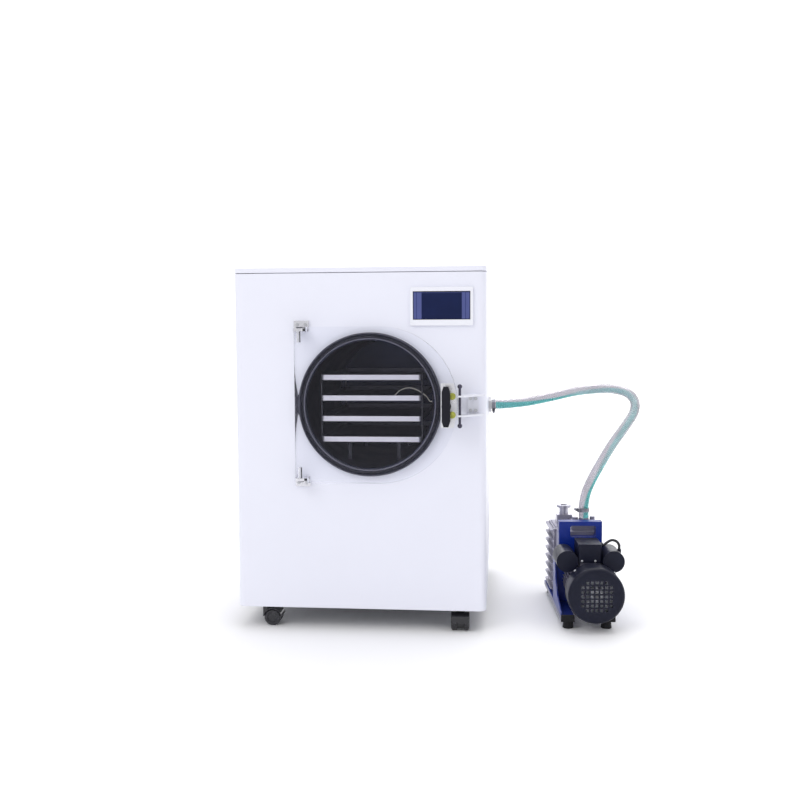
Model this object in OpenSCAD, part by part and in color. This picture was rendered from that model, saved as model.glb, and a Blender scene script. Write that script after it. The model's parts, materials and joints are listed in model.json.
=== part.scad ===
/* [Cabinet] */
// Width of the cabinet
cabinet_w = 600; // [580:5:660]
// Depth of the cabinet, from its front face to its rear panel
cabinet_d = 650; // [630:5:720]
// Height of the machine room, from the base to the chamber's insulation
room_h = 291; // [288:1:300]
// Height from the top of the chamber's insulation to the top of the lid
head_h = 120; // [118:1:140]
// Thickness of the cabinet's sheet metal
sheet_t = 1.5; // [1:0.1:2]
// Outside radius of the bent front corners
corner_r = 18; // [8:1:24]
// Height of the lid's rim
lid_h = 13; // [10:1:20]
// Gap of the seam under the lid's rim
lid_gap = 1.5; // [1:0.5:3]
// Width of the folded flanges at the cabinet's open edges
fold_w = 16; // [12:1:20]
// Thickness of the floor pan and its upstand
pan_t = 3; // [2:0.5:4]
// Height of the floor pan's upstand
pan_h = 30; // [20:1:40]

/* [Casters] */
// Height of the cabinet's underside above the floor
base_z = 52; // [50:1:56]
// Radius of the caster wheels
wheel_r = 20; // [18:0.5:21]
// Width of one wheel
wheel_w = 13; // [10:0.5:15]
// Distance of the wheels' axle behind the swivel axis
trail = 17; // [15:0.5:20]
// Radius of the caster studs
stud_r = 5; // [4:0.5:6]
// Distance of the swivel axes from the cabinet's sides
caster_side = 62; // [50:1:90]
// Distance of the swivel axes from the cabinet's front and rear
caster_end = 40; // [34:1:70]

/* [Chamber] */
// Distance of the chamber's axis from the cabinet's right side
chamber_side = 272; // [266:1:280]
// Inside radius of the chamber
chamber_r = 151; // [150:0.5:154]
// Wall of the chamber's tube
chamber_wall = 2.5; // [2:0.5:4]
// Inside depth of the chamber behind the cabinet's front face
chamber_d = 500; // [450:5:510]
// Thickness of the chamber's rear head
head_t = 8; // [5:1:12]
// Width of the flange's face outside the tube's bore
flange_w = 15; // [12:0.5:16]
// Thickness of the flange
flange_t = 8; // [5:0.5:12]
// Thickness of the gasket between flange and door
gasket_t = 10; // [6:0.5:12]
// Thickness of the gasket's skirt round the flange
skirt_t = 3; // [2:0.5:4]
// Radius of the evaporator's tube
coil_r = 4; // [3:0.5:5]
// Turns of the evaporator coil
coil_turns = 8; // [5:1:9]
// Outside radius of the insulation round the coil
foam_r = 202; // [194:1:204]
// Running gap between the coil and its neighbours
coil_gap = 0.3; // [0.2:0.1:0.8]

/* [Rack and trays] */
// Width of a tray
tray_w = 236; // [228:1:237]
// Depth of a tray, front to back
tray_d = 400; // [340:5:420]
// Height of a tray's rim
tray_h = 12; // [10:1:20]
// Thickness of a tray's sheet
tray_t = 1; // [0.8:0.1:1.5]
// Height from one tray to the next
tray_pitch = 49; // [44:0.5:49]
// Depth of the lowest tray's underside below the chamber's axis
tray_low = 90; // [80:0.5:90]
// Distance of the trays behind the cabinet's front face
tray_front = 12; // [8:1:40]
// Thickness of a shelf plate
shelf_t = 2; // [1.5:0.5:3]
// Distance of the shelf plates' front edges behind the trays
shelf_back = 8; // [4:1:16]
// Thickness of a rack post
post_t = 3; // [2:0.5:3]
// Depth of a rack post, front to back
post_d = 12; // [8:1:20]

/* [Door] */
// Thickness of the acrylic door
door_t = 25; // [20:0.5:30]
// Radius of the door's round side
door_r = 183; // [180:0.5:184]
// Offset of the round side's centre to the right of the chamber's axis
door_shift = 23; // [21:0.5:25]
// Distance of the hinge axis to the left of the chamber's axis
hinge_reach = 164; // [160:0.5:175]
// Radius of the hinge pins
pin_r = 4; // [3:0.5:5]
// Depth of the hinge pins in the door
pin_depth = 25; // [18:1:40]
// Radius of the hinge arms' round ends
hinge_r = 15; // [12:0.5:16]
// Thickness of the hinge arms
hinge_t = 7; // [5:0.5:10]
// Height of the hinge brackets' wall plates
hinge_h = 25; // [22:1:32]
// Height of the steps in the door that clear the hinge arms
notch_h = 11; // [9:0.5:14]

/* [Latch] */
// Distance of the latch's shaft to the right of the chamber's axis
latch_reach = 182; // [181:0.5:183]
// Length of the black wing
wing_l = 92; // [80:1:100]
// Width of the black wing
wing_w = 19; // [16:0.5:20]
// Thickness of the black wing
wing_t = 16; // [12:1:20]
// Radius of the latch's shaft
shaft_r = 6; // [5:0.5:7]
// Thickness of the latch plate
plate_t = 3; // [2:0.5:4]
// Height of the latch plate
plate_h = 103; // [90:1:104]
// Radius of the latch bolts' shanks
bolt_r = 4; // [3:0.5:4.5]
// Height of the latch bolts' heads with their washers
bolt_h = 6.5; // [5:0.5:8]
// Thickness of the cam
cam_t = 3.5; // [3:0.5:5]
// Radius of the strike rod
rod_r = 3; // [2.5:0.5:4]
// Length of the strike rod
rod_l = 101; // [90:1:110]
// Distance between the strike bracket's ears
ear_gap = 41; // [34:1:48]
// Thickness of the ears
ear_t = 4; // [3:0.5:5]

/* [Touch screen] */
// Width of the screen's bezel
bezel_w = 147; // [130:1:150]
// Height of the screen's bezel
bezel_h = 90; // [84:1:92]
// Distance of the bezel's middle from the cabinet's right side
bezel_side = 104; // [102:1:115]
// Depth of the bezel's middle below the lid's top
bezel_drop = 93; // [85:1:95]
// Thickness of the bezel in front of the cabinet
bezel_t = 6; // [4:0.5:9]
// Depth of the housing behind the cabinet's front
housing_d = 34; // [25:1:50]
// Width of the glass
glass_w = 134; // [120:1:136]
// Height of the glass
glass_h = 66; // [60:1:68]

/* [Cooling] */
// Radius of the compressor's shell
compressor_r = 80; // [70:1:82]
// Height of the compressor's shell
compressor_h = 205; // [180:5:210]
// Width of the condenser
condenser_w = 280; // [250:5:290]
// Depth of the condenser
condenser_d = 40; // [30:1:44]
// Radius of the refrigerant pipes
pipe_r = 5; // [4:0.5:6]

/* [Hose and drain] */
// Outside radius of the vacuum hose
hose_r = 12.5; // [11:0.5:13]
// Length of the port's spigot outside the cabinet
port_l = 12; // [9:0.5:14]
// Outside radius of the drain's spigot
drain_r = 7; // [6:0.5:8]
// Length of the drain's spigot
drain_l = 20; // [16:1:30]

/* [Pump] */
// Angle by which the pump is turned away from the cabinet's axis
pump_turn = 4; // [0:1:8]
// Height of the motor's axis above the floor
motor_z = 92; // [90:1:98]
// Radius of the motor's fan cover
cover_r = 67; // [65:0.5:69]
// Length of the motor's fan cover
cover_l = 60; // [54:1:66]
// Radius of the motor over its ribs
motor_r = 58; // [56:0.5:58]
// Height of the motor's cooling ribs
rib_h = 5; // [3:0.5:7]
// Thickness of the blue frame's upright plate
frame_t = 25; // [20:1:30]
// Width of the blue frame over its rails
frame_w = 130; // [126:1:134]
// Width of the blue frame's upright plate
plate_w = 108; // [100:1:112]
// Height of the blue frame's handle above the floor
frame_h = 236; // [228:1:244]
// Length of the oil case
oil_l = 143; // [130:1:160]
// Height of the oil case's top above the floor
oil_top = 200; // [194:1:204]
// Width of the oil case over its fins
oil_w = 126; // [120:1:130]
// Height of the rubber feet
foot_h = 20; // [16:1:24]
// Radius of the rubber feet
foot_r = 13; // [10:0.5:14]

/* [Hidden] */

$fn = 96;

// Running clearance of a shaft, pin or stud in its bore
fit = 0.05;
// Gap between neighbours that move past each other or slip together
slip = 0.3;
// Length by which a cutting shape passes the face that it cuts
past = 1;

// Colours
white = "#eceef6";
steel = "#b9bcc4";
black = "#1c1d22";
navy = "#18224f";
zinc = "#c9b93a";
copper = "#b8734a";
pump_blue = "#1d3fa8";
pump_grey = "#b7b4c8";

// Cabinet
half_w = cabinet_w / 2;
chamber_z = base_z + room_h + foam_r;
top_z = chamber_z + foam_r + head_h;
wrap_top = top_z - lid_h;
pan_top = base_z + pan_t;
inner_rear = cabinet_d - 2 * sheet_t;
screw_r = 2;
screw_hole_r = screw_r + 0.2;
screw_head_r = 4;
screw_head_h = 2.4;
screw_l = 10;
rear_screw_x = half_w - sheet_t - fold_w / 2;
screw_end = 40;
rear_screw_z = [for (i = [0:4]) base_z + screw_end + i * (wrap_top - base_z - 2 * screw_end) / 4];

// Casters: swivel axes, and the turn of each at rest
caster_x = half_w - caster_side;
caster_rear = cabinet_d - caster_end;
caster_at = [[-caster_x, caster_end], [caster_x, caster_end],
             [-caster_x, caster_rear], [caster_x, caster_rear]];
caster_turn = [90, 0, 195, 165];
web_t = 2 * stud_r + 6;
hood_gap = 1.2;
hood_t = 2.3;
hood_half = web_t / 2 + 0.6 + wheel_w;
axle_r = 3;
boss_r = stud_r + 6;
stud_l = 30;
stud_nut = 6;

// Chamber, seen along its axis
chamber_x = half_w - chamber_side;
drum_r = chamber_r + chamber_wall;
flange_r = chamber_r + flange_w;
coil_steps = 24;
coil_path_r = (drum_r + coil_gap + coil_r) / cos(180 / coil_steps);
foam_in_r = coil_path_r + coil_r + coil_gap;
foam_end = 30;
coil_front = 70;
port_y = chamber_d - 50;
port_drop = 34;
port_z = chamber_z - port_drop;
coil_rear = port_y - 40;
stub_r = 14;
bore_r = 9.5;
stub_end = chamber_x + foam_r + 5;
drain_drop = chamber_r - 14;
drain_stub_end = chamber_d + head_t + foam_end + 3;
coil_hole_r = coil_r + 3;

// Rack: the trays' undersides measured from the chamber's axis, top tray first
tray_z = [for (i = [3:-1:0]) -tray_low + i * tray_pitch];
post_in = tray_w / 2 + 0.7;
post_out = post_in + post_t;
shelf_front = tray_front + shelf_back;
shelf_d = tray_d - shelf_back;
leg_x = 60;
leg_w = 8;
gland_y = 52;
gland_z = 4;
gland_r = 4;
gland_l = 8;
gland_face = sqrt(pow(chamber_r, 2) - pow(gland_z + gland_r, 2)) - gland_l;

// Door, hinge and latch; depths are counted towards the viewer from the front face
door_back = flange_t + gasket_t;
door_front = door_back + door_t;
door_x = chamber_x + door_shift;
hinge_x = chamber_x - hinge_reach;
hinge_y = door_back + door_t / 2;
hinge_end = door_r - notch_h;
latch_x = chamber_x + latch_reach;
plate_front = door_front + plate_t;
cam_back = plate_front + bolt_h + 0.7;
cam_front = cam_back + cam_t;
rod_x = door_x + door_r + 6.5;
rod_y = cam_front + 1 + rod_r;
cam_w = 16;
hub_r = 11;
wing_back = cam_front + 14;
wing_front = wing_back + wing_t;
bolt_x = latch_x + wing_w / 2 + 3;
bolt_z = 21.5;
bolt_head_r = 7.5;
washer_r = 8;
strike_in = rod_x + 16;
strike_out = half_w - corner_r;
ear_in = rod_x - rod_r - 1.5;
ear_z = ear_gap / 2;
ear_front = rod_y + rod_r + 4;
strike_t = 3;
// Reach of the cam's tip, which sweeps past the ears' inner corners
cam_tip = norm([ear_in - latch_x, ear_z]) - 1.5;

// Touch screen
bezel_x = half_w - bezel_side;
bezel_z = top_z - bezel_drop;
glass_t = 2;
glass_rise = 2;
housing_w = bezel_w - 9;
housing_h = bezel_h - 9;

// Floor pan's saddles
saddle_y = [120, 430];
saddle_half = 100;
saddle_hole_r = 60;
saddle_hole_z = base_z + 140;

// Parts behind the rear panel, placed from the cabinet's sides
condenser_side = 30;
condenser_x = condenser_side + condenser_w / 2 - half_w;
condenser_y = cabinet_d - 130;
condenser_z = base_z + pan_h + 10;
condenser_h = base_z + room_h - condenser_z - 11;
duct_front = condenser_y + condenser_d;
duct_t = 2;
fan_z = condenser_z + condenser_h / 2;
fan_r = condenser_h / 2 - 15;
fan_motor_r = 28;
fan_y = duct_front + 48;
compressor_side = 150;
compressor_x = half_w - compressor_side;
compressor_y = 280;
compressor_z = pan_top + 24;
pipe_y = 490;
pipe_z = base_z + 80;
gas_z = 240;
suction_z = 200;
inlet_side = 80;
inlet_x = inlet_side - half_w;
inlet_z = 430;
switch_z = 16;
switch_w = 14;
switch_out = 1;
pivot_r = 1.5;
box_side = 130;
box_x = box_side - half_w;
box_w = 220;
box_d = 250;
box_h = 95;
louvre_w = 160;
louvre_side = 80;

// Drain valve, counted backwards from the rear panel's outer face
valve_nut = 7;
valve_l = 34;
valve_r = 14;
stem_r = 5;
drain_z = chamber_z - drain_drop;
drain_end = cabinet_d + valve_nut + valve_l + drain_l;
valve_y = cabinet_d + valve_nut + valve_l / 2;
handle_l = 60;
handle_z = drain_z + valve_r + 6;

// Pump, in its own frame: origin on the floor below the middle of the fan cover's face
body_x = -13;
cover_round = 10;
motor_front = cover_l - 10;
vane_y = 18;
frame_front = 180;
frame_back = frame_front + frame_t;
shoulder_z = 145;
inlet_at = [3, frame_back + 30];
oil_front = frame_back + 57;
oil_back = oil_front + oil_l;
fin_h = 9;
fin_t = 3;
oil_bottom = 34;
oil_lid_t = 4;
module_top = oil_top + 5;
inlet_block = 25;
inlet_top = module_top + inlet_block;
exhaust_at = [-35, oil_front + 70];
rail_h = 12;
rail_w = 32;
rail_front = 50;
foot_front = rail_front + 14;
foot_back = oil_back - 20;
foot_x = frame_w / 2 - 19;
handle_x = -6.5;
handle_bar = 11;
handle_gap_w = 64;
handle_gap_h = 28;
pump_shaft_r = 7;
vane_case_r = 34;
vane_case_z = 110;
vane_case_l = oil_l - 50;
stator_wall = 20;
cap_r = 26;
cap_right = [50, sqrt(pow(motor_r + 1 + cap_r, 2) - pow(50, 2))];
cap_left = [-60, sqrt(pow(motor_r + 6 + cap_r, 2) - pow(60, 2))];
cap_l = 88;
lead_x = cap_right[0] + 19;
lead_y = 100;
lead_z = motor_z + cap_right[1] + 23;
cap_front = cover_l + 2;
cap_gap = 1;
box_mid = (cap_left[0] + cap_right[0]) / 2;
term_w = cap_right[0] - cap_left[0] - 2 * (cap_r + cap_gap);
term_l = 80;
term_rise = 6;
term_z = motor_z + motor_r + term_rise;
term_h = 45;
term_front = 72;

// Vacuum port and hose
port_nut = 8;
port_end = half_w + port_nut + port_l;
clamp_w = 9;
clamp_t = 1.2;
hose_x = 546;
hose_y = 238;
hose_z = inlet_top + 6;
hose_clamp_z = hose_z + 20;

// The object's extents, which put the origin under the middle of its box
cover_reach = (cover_r - inlet_at[0]) * cos(pump_turn) + (inlet_at[1] - cover_round) * sin(pump_turn);
cap_reach = (cap_right[0] + cap_r - inlet_at[0]) * cos(pump_turn)
    + (inlet_at[1] - cap_front) * sin(pump_turn);
centre_x = (hose_x + max(cover_reach, cap_reach) - half_w) / 2;
centre_y = (drain_end - wing_front) / 2;

// Routes of the free cords, in the cabinet's frame
hose_route = [
    [port_end, port_y, port_z], [port_end + 25, port_y, port_z + 1],
    [406, 448, 519], [472, 444, 533], [534, 438, 548], [585, 428, 555], [630, 410, 557],
    [668, 382, 549], [685, 350, 529], [680, 318, 501], [652, 286, 464], [617, 264, 419],
    [588, 250, 373], [566, 242, 334], [552, 239, 301],
    [hose_x, hose_y, hose_z + 34], [hose_x, hose_y, hose_z + 15], [hose_x, hose_y, hose_z]
];
probe_route = [
    [chamber_x + gland_face, gland_y, chamber_z + gland_z],
    [chamber_x + gland_face - 6, gland_y, chamber_z + gland_z],
    [158, 50, 559], [148, 48, 568], [130, 48, 578], [112, 50, 581], [94, 54, 575],
    [80, 60, 563], [70, 68, chamber_z + tray_z[1] + 3.5], [50, 84, chamber_z + tray_z[1] + 3.5]
];
// Route of the short lead beside the motor, in the pump's frame
lead_route = [
    [box_mid + term_w / 2 + 6, lead_y, term_z + 38], [box_mid + term_w / 2 + 10, lead_y, term_z + 39],
    [42, lead_y, 202], [52, lead_y, 206], [62, lead_y, 203],
    [lead_x - 0.5, lead_y, 195], [lead_x, lead_y, lead_z + 5], [lead_x, lead_y, lead_z]
];

function unit(v) = v / norm(v);

// Point of a smooth curve between points i and i + 1 of list p, at share t
function curve_point(p, i, t) =
    let (
        a = p[max(i - 1, 0)],
        b = p[i],
        c = p[i + 1],
        d = p[min(i + 2, len(p) - 1)]
    )
    0.5 * (2 * b + (c - a) * t + (2 * a - 5 * b + 4 * c - d) * pow(t, 2)
        + (3 * b - 3 * c + d - a) * pow(t, 3));

// Smooth curve through list p, with its points about `step` apart
function curve(p, step) = concat(
    [for (i = [0:len(p) - 2])
        let (n = max(1, round(norm(p[i + 1] - p[i]) / step)))
        for (k = [0:n - 1]) curve_point(p, i, k / n)],
    [p[len(p) - 1]]
);

// Direction of the curve at each of its points, with the ends along the route's end stretches
function directions(c) = [for (i = [0:len(c) - 1])
    unit(c[min(i + 1, len(c) - 1)] - c[max(i - 1, 0)])];

// Side vectors carried along the curve without twist
function sides_of(t) =
    let (first = unit(cross(t[0], abs(t[0][2]) > 0.9 ? [0, 1, 0] : [0, 0, 1])))
    [for (i = 0, s = first; i < len(t);
        i = i + 1, s = i < len(t) ? unit(s - (s * t[i]) * t[i]) : s) s];

// Round tube of radius r along the points c, whose end faces look along `start` and `finish`
module tube(c, r, n, start, finish) {
    last = len(c) - 1;
    inner = directions(c);
    t = [for (i = [0:last]) i == 0 ? start : i == last ? finish : inner[i]];
    s = sides_of(t);
    points = [for (i = [0:last]) for (k = [0:n - 1])
        c[i] + r * (cos(360 * k / n) * s[i] + sin(360 * k / n) * cross(t[i], s[i]))];
    walls = [for (i = [0:last - 1]) for (k = [0:n - 1])
        [i * n + k, (i + 1) * n + k, (i + 1) * n + (k + 1) % n, i * n + (k + 1) % n]];
    ends = [[for (k = [0:n - 1]) k], [for (k = [n - 1:-1:0]) last * n + k]];
    polyhedron(points, concat(walls, ends));
}

// Frames
module in_cabinet() {
    translate([-centre_x, -centre_y, 0]) children();
}

module on_chamber() {
    in_cabinet() translate([chamber_x, 0, chamber_z]) children();
}

module in_pump() {
    in_cabinet() translate([hose_x, hose_y, 0]) rotate([0, 0, pump_turn])
        translate([-inlet_at[0], -inlet_at[1], 0]) children();
}

// Turns a shape's z axis to +y or to +x
module along_y() {
    rotate([-90, 0, 0]) children();
}

module along_x() {
    rotate([0, 90, 0]) children();
}

// Stands a flat outline in x and z upright, from depth y to y + t
module slab(y, t) {
    translate([0, y + t, 0]) rotate([90, 0, 0]) linear_extrude(t) children();
}

module round_rect(w, h, r) {
    square([w - 2 * r, h], center = true);
    square([w, h - 2 * r], center = true);
    for (x = [-1, 1], z = [-1, 1]) translate([x * (w / 2 - r), z * (h / 2 - r)]) circle(r);
}

// Cabinet's outline in plan, inset all round, open to the rear at depth `rear`
module plan(inset, rear) {
    r = corner_r - inset;
    half = half_w - inset;
    translate([-half, inset + r]) square([2 * half, rear - inset - r]);
    translate([r - half, inset]) square([2 * (half - r), r + past]);
    for (s = [-1, 1]) translate([s * (half - r), inset + r]) circle(r);
}

// Pipe along straight runs between the points p, with round bends
module pipe(p, r) {
    for (i = [0:len(p) - 2]) {
        run = p[i + 1] - p[i];
        translate(p[i])
            rotate([0, acos(run[2] / norm(run)), atan2(run[1], run[0])])
                cylinder(r = r, h = norm(run), $fn = 32);
        if (i > 0) translate(p[i]) sphere(r, $fn = 32);
    }
}

module screw_holes(list, y) {
    for (p = list) translate([p[0], y, p[1]]) along_y() cylinder(r = screw_hole_r, h = 40, center = true);
}

// Pan-head screws whose heads sit on the plane y, driven along `way`
module screws(list, y, way) {
    for (p = list) translate([p[0], y, p[1]]) rotate([way > 0 ? -90 : 90, 0, 0]) {
        cylinder(r = screw_r, h = screw_l, $fn = 24);
        translate([0, 0, -screw_head_h]) cylinder(r = screw_head_r, h = screw_head_h, $fn = 32);
    }
}

function rear_screws() = [for (s = [-1, 1], z = rear_screw_z) [s * rear_screw_x, z]];
function hinge_screws() = [for (e = [-1, 1], s = [-1, 1])
    [hinge_x + s * 10, chamber_z + e * (hinge_end + hinge_t + (hinge_h - hinge_t) / 2)]];
function strike_screws() = [for (s = [-1, 1], e = [-1, 1])
    [(strike_in + strike_out) / 2 + s * 6, chamber_z + e * 14]];

// ---- Cabinet ----

module base_frame() {
    color(steel) in_cabinet() {
        difference() {
            translate([0, 0, base_z]) linear_extrude(pan_h) plan(sheet_t, inner_rear);
            translate([0, 0, pan_top]) linear_extrude(pan_h) plan(sheet_t + pan_t, inner_rear - pan_t);
            for (p = caster_at) translate([p[0], p[1], base_z - past])
                cylinder(r = stud_r + slip, h = pan_t + 2 * past);
        }
        for (y = saddle_y) saddle(y);
    }
}

// Upright plate whose top edge carries the insulated chamber
module saddle(y) {
    plate = 6;
    difference() {
        translate([chamber_x - saddle_half, y, base_z + pan_t / 2])
            cube([2 * saddle_half, plate, chamber_z - base_z - sqrt(pow(foam_r, 2) - pow(saddle_half, 2))]);
        translate([chamber_x, y - past, chamber_z]) along_y()
            cylinder(r = foam_r + slip / 2, h = plate + 2 * past);
        translate([chamber_x, y - past, saddle_hole_z]) along_y()
            cylinder(r = saddle_hole_r, h = plate + 2 * past);
    }
}

module cabinet_wrap() {
    color(white) in_cabinet() difference() {
        union() {
            translate([0, 0, base_z]) linear_extrude(wrap_top - base_z) difference() {
                plan(0, cabinet_d);
                plan(sheet_t, cabinet_d + past);
            }
            translate([0, 0, wrap_top - sheet_t]) linear_extrude(sheet_t) difference() {
                plan(sheet_t / 2, inner_rear);
                translate([fold_w - half_w, fold_w]) square([cabinet_w - 2 * fold_w, cabinet_d]);
            }
            for (s = [-1, 1])
                translate([s > 0 ? half_w - fold_w - sheet_t : -half_w + sheet_t / 2, inner_rear, base_z])
                cube([fold_w + sheet_t / 2, sheet_t, wrap_top - base_z]);
        }
        translate([chamber_x, -past, chamber_z]) along_y() cylinder(r = drum_r + slip, h = corner_r);
        slab(-past, corner_r) translate([bezel_x, bezel_z])
            square([housing_w + 2 * slip, housing_h + 2 * slip], center = true);
        translate([half_w - corner_r, port_y, port_z]) along_x()
            cylinder(r = stub_r + slip, h = 2 * corner_r);
        for (s = [-1, 1], i = [0:7]) translate([s * half_w, 420 + i * 18, base_z + 110])
            cube([4 * sheet_t, 6, 90], center = true);
        screw_holes(rear_screws(), cabinet_d);
        screw_holes(hinge_screws(), 0);
        screw_holes(strike_screws(), 0);
    }
}

module rear_panel() {
    width = cabinet_w - 2 * sheet_t - 2 * slip;
    color(white) in_cabinet() difference() {
        translate([-width / 2, cabinet_d - sheet_t, base_z]) cube([width, sheet_t, wrap_top - base_z]);
        // Air outlet of the condenser, and louvres for the top of the cabinet
        for (i = [-8:8]) {
            x = i * 12;
            reach = sqrt(pow(fan_r, 2) - pow(x, 2));
            translate([condenser_x + x - 3, cabinet_d - 2 * sheet_t, fan_z - reach])
                cube([6, 3 * sheet_t, 2 * reach]);
        }
        for (i = [0:9])
            translate([half_w - louvre_side - louvre_w, cabinet_d - 2 * sheet_t, top_z - 120 + i * 9])
            cube([louvre_w, 3 * sheet_t, 4]);
        translate([inlet_x, cabinet_d - 2 * sheet_t, inlet_z]) slab(0, 3 * sheet_t)
            square([46 + 2 * slip, 66 + 2 * slip], center = true);
        translate([chamber_x, cabinet_d, drain_z]) along_y()
            cylinder(r = drain_r + slip, h = 20, center = true);
        screw_holes(rear_screws(), cabinet_d);
    }
}

module top_lid() {
    rim_h = lid_h - lid_gap;
    color(white) in_cabinet() {
        difference() {
            translate([0, 0, top_z - rim_h]) linear_extrude(rim_h) plan(0, cabinet_d);
            translate([0, 0, top_z - rim_h - past]) linear_extrude(rim_h + past - sheet_t)
                plan(sheet_t, cabinet_d - sheet_t);
        }
        // Stiffeners under the lid, which rest on the cabinet's folded edge
        for (s = [-1, 1]) translate([s * (half_w - fold_w + 4) - 3, corner_r + 10, wrap_top])
            cube([6, inner_rear - corner_r - 20, lid_h - sheet_t]);
        translate([corner_r + 30 - half_w, fold_w - 7, wrap_top])
            cube([cabinet_w - 2 * corner_r - 60, 6, lid_h - sheet_t]);
    }
}

module cabinet_screws() {
    color(steel) in_cabinet() {
        screws(rear_screws(), cabinet_d, -1);
        screws(hinge_screws(), -4, 1);
        screws(strike_screws(), -strike_t, 1);
        // Studs that the casters turn on, each with its nut on the floor pan
        for (p = caster_at) translate([p[0], p[1], base_z - stud_l]) {
            cylinder(r = stud_r, h = stud_l + pan_t + stud_nut + 2);
            translate([0, 0, stud_l + pan_t]) cylinder(r = stud_r + 4, h = stud_nut, $fn = 6);
        }
    }
}

// ---- Chamber and what it holds ----

module vacuum_chamber() {
    color(steel) on_chamber() difference() {
        union() {
            along_y() rotate_extrude() polygon([
                [chamber_r, -flange_t], [flange_r, -flange_t], [flange_r, 0], [drum_r, 0],
                [drum_r, chamber_d - fit], [chamber_r, chamber_d - fit]
            ]);
            // Rear head, set against the tube's end
            translate([0, chamber_d, 0]) along_y() cylinder(r = drum_r, h = head_t);
            difference() {
                translate([0, port_y, -port_drop]) along_x() cylinder(r = stub_r, h = stub_end - chamber_x);
                along_y() cylinder(r = chamber_r + chamber_wall / 2, h = chamber_d);
            }
            translate([0, chamber_d + head_t / 2, -drain_drop]) along_y()
                cylinder(r = drain_r, h = drain_stub_end - chamber_d - head_t / 2);
            difference() {
                translate([gland_face, gland_y, gland_z]) along_x()
                    cylinder(r = gland_r, h = gland_l + 5, $fn = 32);
                along_y() difference() {
                    cylinder(r = flange_r, h = chamber_d);
                    translate([0, 0, -past])
                        cylinder(r = chamber_r + chamber_wall / 2, h = chamber_d + 2 * past);
                }
            }
        }
        translate([0, port_y, -port_drop]) along_x() cylinder(r = bore_r, h = chamber_r + foam_r);
        translate([0, chamber_d - past, -drain_drop]) along_y() cylinder(r = drain_r - 2.5, h = foam_r);
    }
}

module door_gasket() {
    inner = chamber_r + 2;
    outer = flange_r + skirt_t;
    front = -flange_t - gasket_t;
    color(black) on_chamber() along_y() rotate_extrude() polygon([
        [inner, -flange_t], [inner, front + 1.5], [inner + 1.5, front],
        [inner + 5, front], [inner + 5.5, front + 2], [inner + 7.5, front + 2], [inner + 8, front],
        [outer - 3, front], [outer, front + 3], [outer, 0], [flange_r, 0], [flange_r, -flange_t]
    ]);
}

module chamber_insulation() {
    rear = chamber_d + head_t;
    color("#d8c98a") on_chamber() difference() {
        along_y() rotate_extrude() polygon([
            [foam_in_r, sheet_t], [foam_r, sheet_t], [foam_r, rear + foam_end], [0, rear + foam_end],
            [0, rear], [foam_in_r, rear]
        ]);
        translate([0, port_y, -port_drop]) along_x() cylinder(r = stub_r + slip, h = 2 * foam_r);
        translate([0, rear - past, -drain_drop]) along_y()
            cylinder(r = drain_r + slip, h = foam_end + 2 * past);
        for (y = [coil_front, coil_rear]) translate([0, y, -foam_r - past])
            cylinder(r = coil_hole_r, h = foam_r - foam_in_r + 2 * past);
    }
}

module evaporator_coil() {
    steps = coil_turns * coil_steps;
    rise = (coil_rear - coil_front) / steps;
    c = [for (i = [0:steps]) let (a = 360 * coil_turns * i / steps - 90)
        [coil_path_r * cos(a), coil_front + i * rise, coil_path_r * sin(a)]];
    end_way = unit([coil_path_r * 360 * coil_turns / steps * PI / 180, rise, 0]);
    color(copper) on_chamber() tube(c, coil_r, 8, end_way, end_way);
}

// Shelf plates between four posts, on legs whose feet follow the chamber's round wall
module shelf_rack() {
    bottom = tray_z[3] - shelf_t;
    top = tray_z[0] + tray_h + 2;
    color(steel) on_chamber() intersection() {
        union() {
            for (z = tray_z) translate([slip - post_in, shelf_front, z - shelf_t])
                cube([2 * (post_in - slip), shelf_d, shelf_t]);
            for (s = [-1, 1], y = [shelf_front + 4, shelf_front + shelf_d - post_d - 4])
                translate([s > 0 ? post_in : -post_out, y, bottom]) cube([post_t, post_d, top - bottom]);
            for (s = [-1, 1], y = [shelf_front + 50, shelf_front + shelf_d - 60])
                translate([s * leg_x - leg_w / 2, y, -chamber_r])
                    cube([leg_w, 10, chamber_r + bottom - slip]);
        }
        along_y() cylinder(r = chamber_r - slip, h = chamber_d);
    }
}

// Flat pan with upright walls, standing on the shelf at height z
module tray(z) {
    color("#cfd2da") on_chamber() translate([0, tray_front + tray_d / 2, z]) difference() {
        linear_extrude(tray_h) round_rect(tray_w, tray_d, 6);
        translate([0, 0, tray_t]) linear_extrude(tray_h)
            round_rect(tray_w - 2 * tray_t, tray_d - 2 * tray_t, 6 - tray_t);
    }
}

module tray_1() {
    tray(tray_z[0]);
}

module tray_2() {
    tray(tray_z[1]);
}

module tray_3() {
    tray(tray_z[2]);
}

module tray_4() {
    tray(tray_z[3]);
}

module probe_lead() {
    color("#c9c6bd") in_cabinet() tube(curve(probe_route, 5), 1.4, 8, [-1, 0, 0], unit([-20, 16, 0]));
}

// ---- Door, hinges and latch ----

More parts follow.
